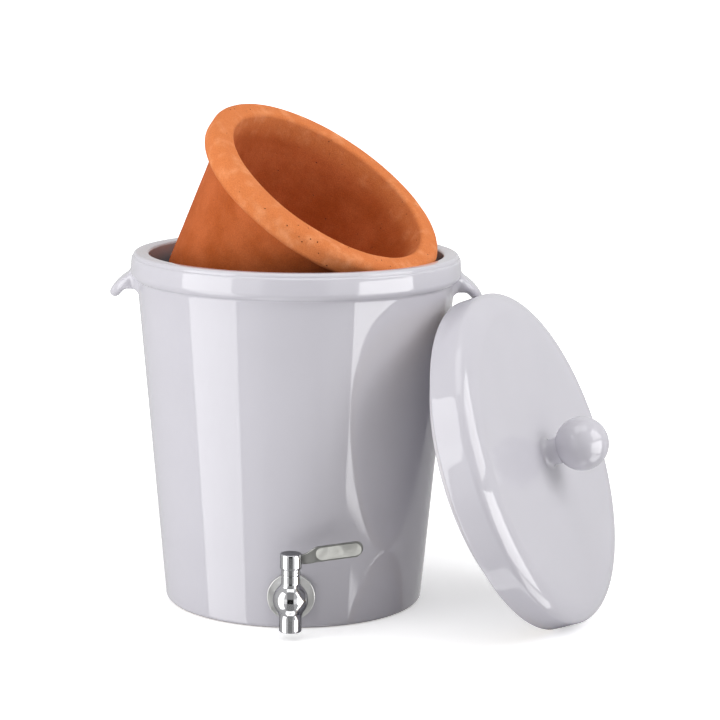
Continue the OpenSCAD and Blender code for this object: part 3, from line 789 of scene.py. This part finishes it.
    def build(self) -> Piece:
        """Builds and dresses the crock."""
        piece = self.former.turn("crock_glazed", self.outline(), 288, self.finish)
        work = bmesh.new()
        work.from_mesh(piece.data)
        ear = self.ear()
        for _ in range(2):
            ear.data.transform(Matrix.Rotation(math.pi, 4, "Z"))
            work.from_mesh(ear.data)
        bpy.data.objects.remove(ear)
        self.lugs(work)
        for face in work.faces:
            face.smooth = True
            face.material_index = 0
        work.to_mesh(piece.data)
        work.free()
        piece.data.materials.clear()
        piece.data.materials.append(self.finish)
        co = positions(piece.data)
        mark(piece.data, "bare", np.clip((self.foot_bare * MM - co[:, 2]) / (0.6 * MM), 0, 1))
        # "inside" marks where painted shade darkens the glaze inside the crock; it fades out towards the
        # mouth and leaves out the underside of the base
        radius = np.hypot(co[:, 0], co[:, 1]) / MM
        within = radius < self.wall_r(co[:, 2] / MM) - self.wall_t / 2
        below = np.clip((self.inner_shade_top - co[:, 2] / MM) / self.inner_shade_fade, 0, 1)
        mark(piece.data, "inside", within * below * (co[:, 2] > 6 * MM))
        hand_over(piece, "crock", "crock_body")
        return piece


# ---------------------------------------------------------------- filter pot

@dataclass
class FilterPot:
    """The terracotta filter pot, drawn upright with its rim's plane at height 0. Millimetres."""

    finish: Material
    former: TurnedForm
    rim_r: float = 134.0
    rim_h: float = 25.0
    mouth_r: float = 110.0
    neck_r: float = 119.0
    taper: float = 9.5
    height: float = 175.0
    wall_t: float = 14.0
    floor_t: float = 16.0
    tilt: float = 36.5
    turn: float = -31.0
    base_round: float = 14.0
    floor_round: float = 12.0
    neck_round: float = 2.4
    rim_low_round: float = 6.0
    rim_top_round: float = 9.0
    rim_in_round: float = 5.0
    wobble: float = 0.35
    dent_size: float = 48.0
    ripple_size: float = 15.0
    ripple: float = 0.45

    def wall_r(self, depth: float) -> float:
        """Outer radius of the wall at a depth below the rim."""
        return self.neck_r - (depth - self.rim_h) * math.tan(math.radians(self.taper))

    def outline(self) -> list[Point]:
        """Outline from the middle of the base, up outside, over the rim and down inside."""
        h, rim_h = self.height, self.rim_h
        base, floor, neck = self.base_round, self.floor_round, self.neck_round
        low, top, within = self.rim_low_round, self.rim_top_round, self.rim_in_round
        low_r = self.wall_r(h) - base + 1.5
        inner = self.wall_r(h - self.floor_t - floor) - self.wall_t - floor
        points = [(0.0, -h), *arc((low_r, -h + base), base, -90, -9, 10)]
        points += [(self.neck_r - 0.3, -rim_h - 3)]
        points += arc((self.neck_r + 2.6, -rim_h - neck), neck, 180, 90, 4)
        points += arc((self.rim_r - low, -rim_h + low), low, -90, 0, 8)
        points += arc((self.rim_r - top, -top), top, 0, 90, 10)
        points += arc((self.mouth_r + within, -within), within, 90, 176, 8)
        points += [(self.wall_r(rim_h + 12) - self.wall_t, -rim_h - 12)]
        points += [*arc((inner, -h + self.floor_t + floor), floor, 0, -90, 8), (0.0, -h + self.floor_t)]
        return dense(points, 4.2)

    def knead(self, mesh: Mesh) -> None:
        """Gives the pressed clay its slight unevenness.

        Args:
            mesh: The pot's mesh, upright.
        """
        normals = np.zeros(len(mesh.vertices) * 3, np.float32)
        mesh.vertices.foreach_get("normal", normals)
        co = positions(mesh)
        push = [noise.noise(Vector(spot) * per_mm(self.dent_size)) - 0.2
                + self.ripple * noise.noise(Vector(spot) * per_mm(self.ripple_size)) for spot in co]
        co += normals.reshape(-1, 3) * (np.array(push) * self.wobble * MM)[:, None]
        mesh.vertices.foreach_set("co", co.astype(np.float32).ravel())
        mesh.update()

    def build(self) -> Piece:
        """Builds and dresses the pot where it lies in the mouth."""
        piece = self.former.turn("filter_pot_clay", self.outline(), 288, self.finish)
        self.knead(piece.data)
        co = positions(piece.data)
        radius = np.hypot(co[:, 0], co[:, 1]) / MM
        # the mask is 1 on the rim and low elsewhere; the finish reads it as rubbed wear on the rim and as
        # painted shade on the wall below it
        rim = np.clip((co[:, 2] / MM + self.rim_h + 4) / 10, 0, 1)
        rim *= np.clip((radius - self.mouth_r + 6) / 6, 0, 1)
        mark(piece.data, "wear_and_shade", 0.08 + 0.92 * rim)
        piece.data.transform(leaning(self.turn, self.tilt))
        seat_on_node(piece, "filter_pot")
        hand_over(piece, "filter_pot", "filter_pot_body")
        return piece


# ---------------------------------------------------------------- lid

@dataclass
class Lid:
    """The glazed lid with its ball knob, drawn flat with its skirt's edge at height 0. Millimetres."""

    finish: Material
    former: TurnedForm
    radius: float = 171.5
    height: float = 42.0
    shoulder: float = 15.0
    shoulder_w: float = 26.0
    wall_t: float = 9.0
    flange_r: float = 146.0
    flange_t: float = 7.0
    flange_d: float = 14.0
    knob_r: float = 27.0
    neck_r: float = 13.0
    neck_h: float = 10.5
    flare: float = 5.0
    inside_round: float = 10.0
    flange_round: float = 2.0
    root_round: float = 1.2
    edge_round: float = 3.0
    lean: float = 20.8
    face_turn: float = -23.8

    def outline(self) -> list[Point]:
        """Outline from the middle inside, round the skirt and over the top to the knob's crown."""
        top, inside = self.height - self.wall_t, self.radius - self.wall_t
        inner = self.flange_r - self.flange_t
        ball_z = self.height + self.neck_h + self.knob_r
        meet = math.degrees(math.acos(self.neck_r / self.knob_r))
        deep, small = self.inside_round, self.flange_round
        root, edge = self.root_round, self.edge_round
        points = [(0.0, top), *arc((inside - deep, top - deep), deep, 90, 0, 8)]
        points += arc((inside - small, self.wall_t + small), small, 0, -90, 3)
        points += arc((inner + small, self.wall_t - small), small, 90, 180, 4)
        points += arc((inner + small, small - self.flange_d), small, 180, 270, 5)
        points += arc((self.flange_r - small, small - self.flange_d), small, 270, 360, 5)
        points += arc((self.flange_r + root, -root), root, 180, 90, 3)
        points += arc((self.radius - edge, edge), edge, -90, 0, 6)
        middle, stretch = self.radius - self.shoulder_w, self.shoulder_w / self.shoulder
        points += [(middle + (r - middle) * stretch, z)
                   for r, z in arc((middle, self.height - self.shoulder), self.shoulder, 0, 90, 24)]
        points += arc((self.neck_r + self.flare, self.height + self.flare), self.flare, 270, 180, 8)
        points += arc((0, ball_z), self.knob_r, -meet + 2.5, 90, 30)
        return dense(points, 4.5)

    def build(self) -> Piece:
        """Builds and dresses the lid where it leans."""
        piece = self.former.turn("lid_glazed", self.outline(), 256, self.finish)
        co = positions(piece.data) / MM
        radius = np.hypot(co[:, 0], co[:, 1])
        ring = np.clip((0.7 - np.abs(co[:, 2])) / 0.5, 0, 1)
        ring *= np.clip((radius - self.flange_r - 2) / 1.5, 0, 1)
        mark(piece.data, "bare", ring)
        piece.data.transform(leaning(self.face_turn, 90 - self.lean))
        seat_on_node(piece, "lid")
        hand_over(piece, "lid", "lid_body")
        return piece


# ---------------------------------------------------------------- tap

@dataclass
class Tap:
    """The ball-valve tap: turned body, cap, escutcheon, lever and plate. Millimetres."""

    polished: Material
    satin: Material
    lever_steel: Material
    plate_steel: Material
    former: TurnedForm
    axis_y: float = -168.04
    shank_z: float = 36.0
    body_r: float = 17.4
    body_z: float = 40.0
    spout_r: float = 11.1
    spout_bore: float = 8.6
    spout_z: float = 8.0
    blend_r: float = 12.0
    neck_r: float = 9.3
    neck_top: float = 66.0
    cap_r: float = 10.7
    cap_z: float = 71.9
    cap_h: float = 15.0
    root_x: float = 7.7
    root_low: float = 76.0
    root_high: float = 85.4
    paddle_x: float = 30.8
    paddle_z: float = 86.9
    paddle_w: float = 15.6
    paddle_run: float = 32.4
    rise: float = 8.5
    lever_t: float = 2.8
    plate_t: float = 0.7
    border: float = 1.5
    bore_depth: float = 13.0
    boss_r: float = 12.5
    boss_edge: float = 0.4
    boss_in: float = 8.0
    disc_bore_r: float = 8.5
    lever_steps: int = 60
    lever_edge: float = 0.55
    set_back: float = 1.6
    widen_from: float = 10.0
    widen_short: float = 4.5
    plate_proud: float = 0.12

    def at_axis(self, piece: Piece) -> Piece:
        """Moves a piece's mesh from the origin to the tap's axis."""
        piece.data.transform(Matrix.Translation((0, self.axis_y * MM, 0)))
        return piece

    def on_shank(self, piece: Piece) -> Piece:
        """Lays a piece's mesh from the upright axis onto the shank's axis."""
        lift = Matrix.Translation((0, 0, self.shank_z * MM))
        piece.data.transform(lift @ Matrix.Rotation(math.pi / 2, 4, "X"))
        return piece

    def body(self) -> None:
        """Turns the valve body with its open spout, and joins the boss behind it."""
        meet_high = math.degrees(math.acos(self.neck_r / self.body_r))
        bore, low, bore_top = self.spout_bore, self.spout_z, self.spout_z + self.bore_depth
        outline = [(0.0, bore_top), (bore - 0.4, bore_top), (bore, bore_top - 0.4)]
        outline += [(bore, low + 0.7), *arc((bore + 0.7, low + 0.7), 0.7, 180, 270, 4)]
        outline += arc((self.spout_r - 1.2, low + 1.2), 1.2, -90, 0, 6)
        fall = math.sqrt((self.body_r + self.blend_r) ** 2 - (self.spout_r + self.blend_r) ** 2)
        turn = math.degrees(math.atan2(fall, self.spout_r + self.blend_r))
        hollow = (self.spout_r + self.blend_r, self.body_z - fall)
        outline += arc(hollow, self.blend_r, 180, 180 - turn, 8)
        outline += arc((0, self.body_z), self.body_r, -turn, meet_high - 7, 48)
        outline += arc((self.neck_r + 2.6, self.body_z + 17.2), 2.6, 215, 180, 4)
        outline += [(self.neck_r, self.neck_top - 0.3), (self.neck_r - 0.3, self.neck_top)]
        outline += [(0.0, self.neck_top)]
        piece = self.at_axis(self.former.turn("tap_body_polished", dense(outline, 1.6), 128, self.polished))
        front, back = -self.axis_y - self.boss_in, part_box("tap_body")[1].y / -MM
        r, edge = self.boss_r, self.boss_edge
        boss = [(0.0, back), (r - edge, back), (r, back + edge), (r, front), (0.0, front)]
        boss = self.on_shank(self.former.turn("tap_boss", dense(boss, 2.0), 96, self.polished))
        self.join(piece, boss)
        hand_over(piece, "tap_body", "crock_body")

    def join(self, piece: Piece, other: Piece) -> None:
        """Adds another piece's mesh to a piece and drops the other.

        Args:
            piece: The piece that stays.
            other: The piece that goes into it.
        """
        work = bmesh.new()
        work.from_mesh(piece.data)
        work.from_mesh(other.data)
        work.to_mesh(piece.data)
        work.free()
        bpy.data.objects.remove(other)

    def cap(self) -> None:
        """Turns the handle's cap with its rounded crown."""
        r, low, high = self.cap_r, self.cap_z, self.cap_z + self.cap_h
        outline = [(0.0, low), (r - 0.5, low), (r, low + 0.5), (r, high - 1.2)]
        outline += [*arc((r - 1.2, high - 1.2), 1.2, 0, 90, 6), (0.0, high)]
        piece = self.former.turn("handle_cap_polished", dense(outline, 1.5), 96, self.polished)
        self.at_axis(piece)
        hand_over(piece, "handle_cap", "tap_handle")

    def disc(self) -> None:
        """Turns the escutcheon with its flat face and rolled edge."""
        low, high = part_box("escutcheon")
        back, front = -high.y / MM, -low.y / MM
        r = (high.x - low.x) / MM / 2
        bore = self.disc_bore_r
        outline = [(bore, back), (r - 0.4, back), (r, back + 0.5)]
        outline += arc((r - 0.7, front - 0.7), 0.7, 0, 90, 6)
        outline += [(13.2, front), (bore, front), (bore, back)]
        piece = self.on_shank(self.former.turn("escutcheon_satin", dense(outline, 1.2), 128, self.satin))
        hand_over(piece, "escutcheon", "crock_body")

    def lever_sides(self) -> list[tuple[float, float, float, float]]:
        """Measures the lever at steps along it, from root to tip.

        Returns:
            Place along it, middle, half its height and how far back it sits, for each step.
        """
        rise = math.tan(math.radians(self.rise))
        mid_root = (self.root_low + self.root_high) / 2
        half_root = (self.root_high - self.root_low) / 2
        end_x = self.paddle_x + self.paddle_run * math.cos(math.radians(self.rise))
        half = self.paddle_w / 2
        widen_to = self.paddle_x - self.widen_short
        rows = []
        for k in range(self.lever_steps + 1):
            t = k / self.lever_steps
            x = self.root_x + (end_x + half - 0.02 - self.root_x) * (1 - (1 - t) ** 1.35)
            grow = min(1.0, max(0.0, (x - self.widen_from) / (widen_to - self.widen_from)))
            ease = grow * grow * (3 - 2 * grow)
            centre = mid_root + (self.paddle_z + (x - self.paddle_x) * rise - mid_root) * ease
            tall = half_root + (half - half_root) * ease
            if x > end_x:
                tall = math.sqrt(max(half ** 2 - (x - end_x) ** 2, 0.02))
            rows.append((x, centre, tall, self.set_back * (1 - ease)))
        return rows

    def lever(self) -> None:
        """Builds the lever: a strap that widens, rises and comes forward into a stadium paddle."""
        edge, half_t = self.lever_edge, self.lever_t / 2
        columns = []
        for x, centre, tall, back in self.lever_sides():
            loop = []
            for side, up in ((-1, -1), (1, -1), (1, 1), (-1, 1)):
                cut = edge * 0.3
                corner = [(half_t, tall - edge), (half_t - cut, tall - cut), (half_t - edge, tall)]
                if side * up > 0:
                    corner = corner[::-1]
                loop += [(side * c[0], up * max(c[1], 0.01)) for c in corner]
            columns.append(np.array([(x, self.axis_y + back + y, centre + z) for y, z in loop]))
        ends = [np.tile(column.mean(0), (len(column), 1)) for column in (columns[0], columns[-1])]
        rows = [ends[0], *columns, ends[1]]
        piece = piece_from_grid("lever_steel", np.array(rows).transpose(1, 0, 2), self.lever_steel)
        bevel_flat(piece, 35)
        hand_over(piece, "lever", "tap_handle")

    def plate(self) -> None:
        """Builds the bare plate let into the paddle's face."""
        half = self.paddle_w / 2 - self.border
        outline = arc((self.paddle_run, 0), half, -90, 90, 20) + arc((0, 0), half, 90, 270, 20)
        work = bmesh.new()
        front = self.lever_t / 2 + self.plate_proud
        layers = [(front - self.plate_t, 0.0), (front - 0.18, 0.0), (front - 0.05, 0.08), (front, 0.3)]
        loops = []
        for out, shrink in layers:
            scale = 1 - shrink / half
            loop = []
            for u, v in outline:
                centre_u = min(max(u, 0.0), self.paddle_run)
                loop.append(work.verts.new((centre_u + (u - centre_u) * scale, -out, v * scale)))
            loops.append(loop)
        count = len(outline)
        for a, b in zip(loops, loops[1:]):
            for i in range(count):
                work.faces.new((a[i], a[(i + 1) % count], b[(i + 1) % count], b[i]))
        work.faces.new(loops[0][::-1])
        work.faces.new(loops[-1])
        bmesh.ops.recalc_face_normals(work, faces=work.faces)
        mesh = bpy.data.meshes.new("lever_plate_bare")
        work.to_mesh(mesh)
        work.free()
        place = Matrix.Translation((self.paddle_x * MM, self.axis_y * MM, self.paddle_z * MM))
        mesh.transform(place @ Matrix.Rotation(math.radians(-self.rise), 4, "Y") @ Matrix.Scale(MM, 4))
        mesh.materials.append(self.plate_steel)
        piece = put("lever_plate_bare", mesh)
        bevel_flat(piece, 40)
        hand_over(piece, "lever_plate", "tap_handle")

    def build(self) -> None:
        """Builds the tap's body, cap, escutcheon, lever and plate."""
        self.body()
        self.cap()
        self.disc()
        self.lever()
        self.plate()


def bevel_flat(piece: Piece, angle: float) -> None:
    """Shades a piece smooth, with creases along its sharp edges.

    Args:
        piece: The piece.
        angle: Angle between two faces, in degrees, from which their edge is sharp.
    """
    work = bmesh.new()
    work.from_mesh(piece.data)
    for face in work.faces:
        face.smooth = True
    for edge in work.edges:
        if edge.is_manifold:
            edge.smooth = edge.calc_face_angle(0.0) < math.radians(angle)
    work.to_mesh(piece.data)
    work.free()


# ---------------------------------------------------------------- small CAD pieces

@dataclass
class SmallPieces:
    """The CAD nodes that keep their shape and get a finish."""

    dress: dict[str, Material]

    def build(self) -> None:
        """Gives each node its material."""
        for node, material in self.dress.items():
            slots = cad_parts[node].data.materials
            if len(slots) == 0:
                slots.append(material)
            for i in range(len(slots)):
                slots[i] = material
            log.info("%s: %s", node, material.name)


# ---------------------------------------------------------------- studio

@dataclass
class Studio:
    """White acrylic sweep, two soft boxes, a low card, a top light, the room and the camera. Metres."""

    floor_tone: str = "#F0F0F1"
    floor_size: float = 60.0
    camera_at: Triple = (0.0428, -2.4528, 0.6844)
    yaw: float = 0.56
    pitch: float = 10.04
    roll: float = 0.76
    lens: float = 120.2
    box_away: float = 1.5
    floor_lift: float = 0.46
    fill: float = 0.5
    room_tone: float = 0.7
    card_tone: float = 1.3
    gap_tone: float = 0.02
    below_parts: float = 0.0002
    card_height: float = 0.48

    def floor(self) -> None:
        """Lays the floor: acrylic that takes soft shadows, mirrors the lamps into glossy pieces
        and runs out to white where the camera sees it."""
        mesh = bpy.data.meshes.new("studio_floor")
        half = self.floor_size / 2
        corners = [(-half, -half, 0), (half, -half, 0), (half, half, 0), (-half, half, 0)]
        mesh.from_pydata(corners, [], [(0, 1, 2, 3)])
        mesh.transform(Matrix.Translation((0, 0, -self.below_parts)))
        material = bpy.data.materials.new("white_acrylic_sweep")
        material.use_nodes = True
        tree = material.node_tree
        tree.nodes.clear()
        place = add_node(tree, "ShaderNodeTexCoord").outputs["Object"]
        away = add_node(tree, "ShaderNodeVectorMath", {"operation": "LENGTH"}, {0: place}).outputs["Value"]
        lit = add_node(tree, "ShaderNodeMapRange", SMOOTH,
                       {VALUE: away, FROM_LOW: 0.35, FROM_HIGH: 1.1, TO_LOW: self.floor_lift, TO_HIGH: 1.0})
        seen = add_node(tree, "ShaderNodeLightPath")
        lift = add_node(tree, "ShaderNodeMath", {"operation": "MULTIPLY"},
                        {0: seen.outputs["Is Camera Ray"], 1: lit.outputs[0]})
        white = add_node(tree, "ShaderNodeBsdfDiffuse", sockets={"Color": linear(self.floor_tone)})
        sheen = add_node(tree, "ShaderNodeBsdfGlossy",
                         sockets={"Color": (0.9, 0.9, 0.9, 1), "Roughness": 0.05})
        glossy = seen.outputs["Is Glossy Ray"]
        skin = add_node(tree, "ShaderNodeMixShader",
                        sockets={0: glossy, 1: white.outputs[0], 2: sheen.outputs[0]})
        glow = add_node(tree, "ShaderNodeEmission", sockets={"Color": WHITE, "Strength": lift.outputs[0]})
        both = add_node(tree, "ShaderNodeAddShader", sockets={0: skin.outputs[0], 1: glow.outputs[0]})
        add_node(tree, "ShaderNodeOutputMaterial", sockets={"Surface": both.outputs[0]})
        mesh.materials.append(material)
        piece = put("studio_floor", mesh)

    def soft_box(self, name: str, turns: Point, heights: Point, radiance: float) -> Piece:
        """Stands an upright soft box so that it covers a range of directions.

        Args:
            name: Its name.
            turns: Directions of its edges, in degrees from the front towards the right.
            heights: Heights of its lower and upper edges.
            radiance: How bright its face is; a white surface that it surrounds would show 1.

        Returns:
            The lamp.
        """
        middle, half = math.radians(sum(turns) / 2), math.radians(abs(turns[1] - turns[0]) / 2)
        width = 2 * self.box_away * math.tan(half)
        at = Vector((math.sin(middle), -math.cos(middle), 0)) * self.box_away
        at.z = sum(heights) / 2
        return self.lamp(name, at, (width, heights[1] - heights[0]), radiance, Vector((0, 0, at.z)))

    def lamp(self, name: str, at: Vector, size: Point, radiance: float, aim: Vector) -> Piece:
        """Adds a rectangular area lamp.

        Args:
            name: Its name.
            at: Its place.
            size: Width and height.
            radiance: How bright its face is.
            aim: The point that it faces.

        Returns:
            The lamp.
        """
        data = bpy.data.lights.new(name, "AREA")
        data.shape = "RECTANGLE"
        data.size, data.size_y = size
        data.energy = radiance * math.pi * size[0] * size[1]
        lamp = put(name, data)
        lamp.location = at
        lamp.rotation_euler = (aim - at).to_track_quat("-Z", "Y").to_euler()
        return lamp

    def low_card(self, turns: Point, radiance: float) -> None:
        """Stands a card low on the right that only glossy pieces take, straight or off the floor.

        Args:
            turns: Directions of its edges, in degrees from the front towards the right.
            radiance: How bright its face is.
        """
        card = self.soft_box("right_low_card", turns, (0.0, self.card_height), radiance)
        card.visible_diffuse = False
        card.visible_camera = False

    def world(self) -> None:
        """Makes the room: white where the camera sees it, a dim fill for light, and for reflections
        a pale room with bright low cards and a dark gap between them, which gives steel its stripe."""
        world = bpy.data.worlds.new("studio_room")
        bpy.context.scene.world = world
        world.use_nodes = True
        tree = world.node_tree
        tree.nodes.clear()
        seen = add_node(tree, "ShaderNodeLightPath")
        way = add_node(tree, "ShaderNodeTexCoord").outputs["Object"]
        axes = add_node(tree, "ShaderNodeSeparateXYZ", sockets={0: way})
        aside = add_node(tree, "ShaderNodeMath", {"operation": "ABSOLUTE"}, {0: axes.outputs[0]}).outputs[0]
        tones = (self.gap_tone, 0.5 * self.room_tone), (self.card_tone, self.room_tone)
        gap, card = (add_node(tree, "ShaderNodeMapRange", SMOOTH,
                              {VALUE: axes.outputs[2], FROM_LOW: 0.2, FROM_HIGH: 0.3,
                               TO_LOW: low, TO_HIGH: high}) for low, high in tones)
        stripe = add_node(tree, "ShaderNodeMapRange", SMOOTH,
                          {VALUE: aside, FROM_LOW: 0.32, FROM_HIGH: 0.42,
                           TO_LOW: gap.outputs[0], TO_HIGH: card.outputs[0]})
        behind = add_node(tree, "ShaderNodeMapRange", SMOOTH,
                          {VALUE: axes.outputs[1], FROM_LOW: -0.3, FROM_HIGH: 0.1,
                           TO_LOW: stripe.outputs[0], TO_HIGH: self.room_tone})
        walls, fill, white = (add_node(tree, "ShaderNodeBackground",
                                       sockets={"Color": WHITE, "Strength": tone})
                              for tone in (behind.outputs[0], self.fill, 1.0))
        room = add_node(tree, "ShaderNodeMixShader",
                        sockets={0: seen.outputs["Is Glossy Ray"], 1: fill.outputs[0], 2: walls.outputs[0]})
        direct = add_node(tree, "ShaderNodeMath", {"operation": "MAXIMUM"},
                          {0: seen.outputs["Is Camera Ray"], 1: seen.outputs["Is Transmission Ray"]})
        pick = add_node(tree, "ShaderNodeMixShader",
                        sockets={0: direct.outputs[0], 1: room.outputs[0], 2: white.outputs[0]})
        add_node(tree, "ShaderNodeOutputWorld", sockets={"Surface": pick.outputs[0]})

    def camera(self) -> None:
        """Sets the camera where the view is taken from."""
        yaw, pitch, roll = (math.radians(a) for a in (self.yaw, self.pitch, self.roll))
        level = math.cos(pitch)
        forward = Vector((math.sin(yaw) * level, math.cos(yaw) * level, -math.sin(pitch)))
        right = Vector((math.cos(yaw), -math.sin(yaw), 0))
        up = right.cross(forward)
        side = right * math.cos(roll) + up * math.sin(roll)
        top = up * math.cos(roll) - right * math.sin(roll)
        data = bpy.data.cameras.new("camera")
        data.sensor_width = 36.0
        data.lens = self.lens
        eye = put("camera", data)
        turn = Matrix((side, top, -forward)).transposed().to_4x4()
        eye.matrix_world = Matrix.Translation(self.camera_at) @ turn
        bpy.context.scene.camera = eye

    def build(self) -> None:
        """Sets up floor, lights, room and camera."""
        self.camera()
        self.floor()
        self.world()
        self.soft_box("left_soft_box", (-79, -41), (0.0, 1.5), 3.2)
        self.soft_box("right_soft_box", (50, 89), (0.6, 1.9), 4.0)
        self.low_card((42, 84), 5.4)
        self.lamp("top_soft_box", Vector((0.0, -0.5, 2.2)), (1.6, 1.2), 1.9, Vector((0.0, 0.0, 0.2)))


# ---------------------------------------------------------------- build

def main() -> None:
    """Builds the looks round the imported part."""
    logging.basicConfig(level=logging.INFO, format="%(message)s")
    scene = bpy.context.scene
    scene.view_settings.view_transform = "Standard"
    Studio().build()
    former = TurnedForm()
    glaze = GlossGlaze("stoneware_gloss_glaze").build()
    clay = Terracotta("terracotta_porous").build()
    polished = Steel("stainless_polished", edge=0.35).build()
    shank = (0.0, 0.0, Tap.shank_z * MM)
    turned = Steel("stainless_turned", roughness=0.2, lay=Lay.ROUND, depth=0.01, centre=shank).build()
    satin = Steel("stainless_satin", colour="#DCDCDA", roughness=0.48, edge=0.5, lay=Lay.ROUND,
                  depth=0.004, centre=shank).build()
    strap = Steel("stainless_brushed_strap", colour="#A9A9A6", roughness=0.36, edge=0.2, lay=Lay.ALONG,
                  depth=0.006).build()
    plate = Steel("stainless_brushed_plate", colour="#DEDED9", roughness=0.5, edge=0.6, lay=Lay.ALONG,
                  depth=0.006).build()
    silicone = Moulded("silicone_translucent", milky=0.4).build()
    nitrile = Moulded("nitrile_rubber", colour="#1E1E1F", roughness=0.45).build()
    ptfe = Moulded("ptfe_turned", colour="#F1F0EA", roughness=0.35, milky=0.2).build()
    Crock(glaze, former).build()
    FilterPot(clay, former).build()
    Lid(glaze, former).build()
    Tap(polished, satin, strap, plate, former).build()
    SmallPieces({
        "tap_shank": turned, "inner_washer": turned, "lock_nut": turned,
        "outer_gasket": silicone, "inner_gasket": silicone,
        "inlet_seat": ptfe, "outlet_seat": ptfe, "thrust_washer": ptfe,
        "valve_ball": polished, "valve_stem": polished, "retaining_collar": polished,
        "stop_pin": turned, "handle_grub_screw": turned, "stem_o_rings": nitrile,
    }).build()


if __name__ == "__main__":
    main()
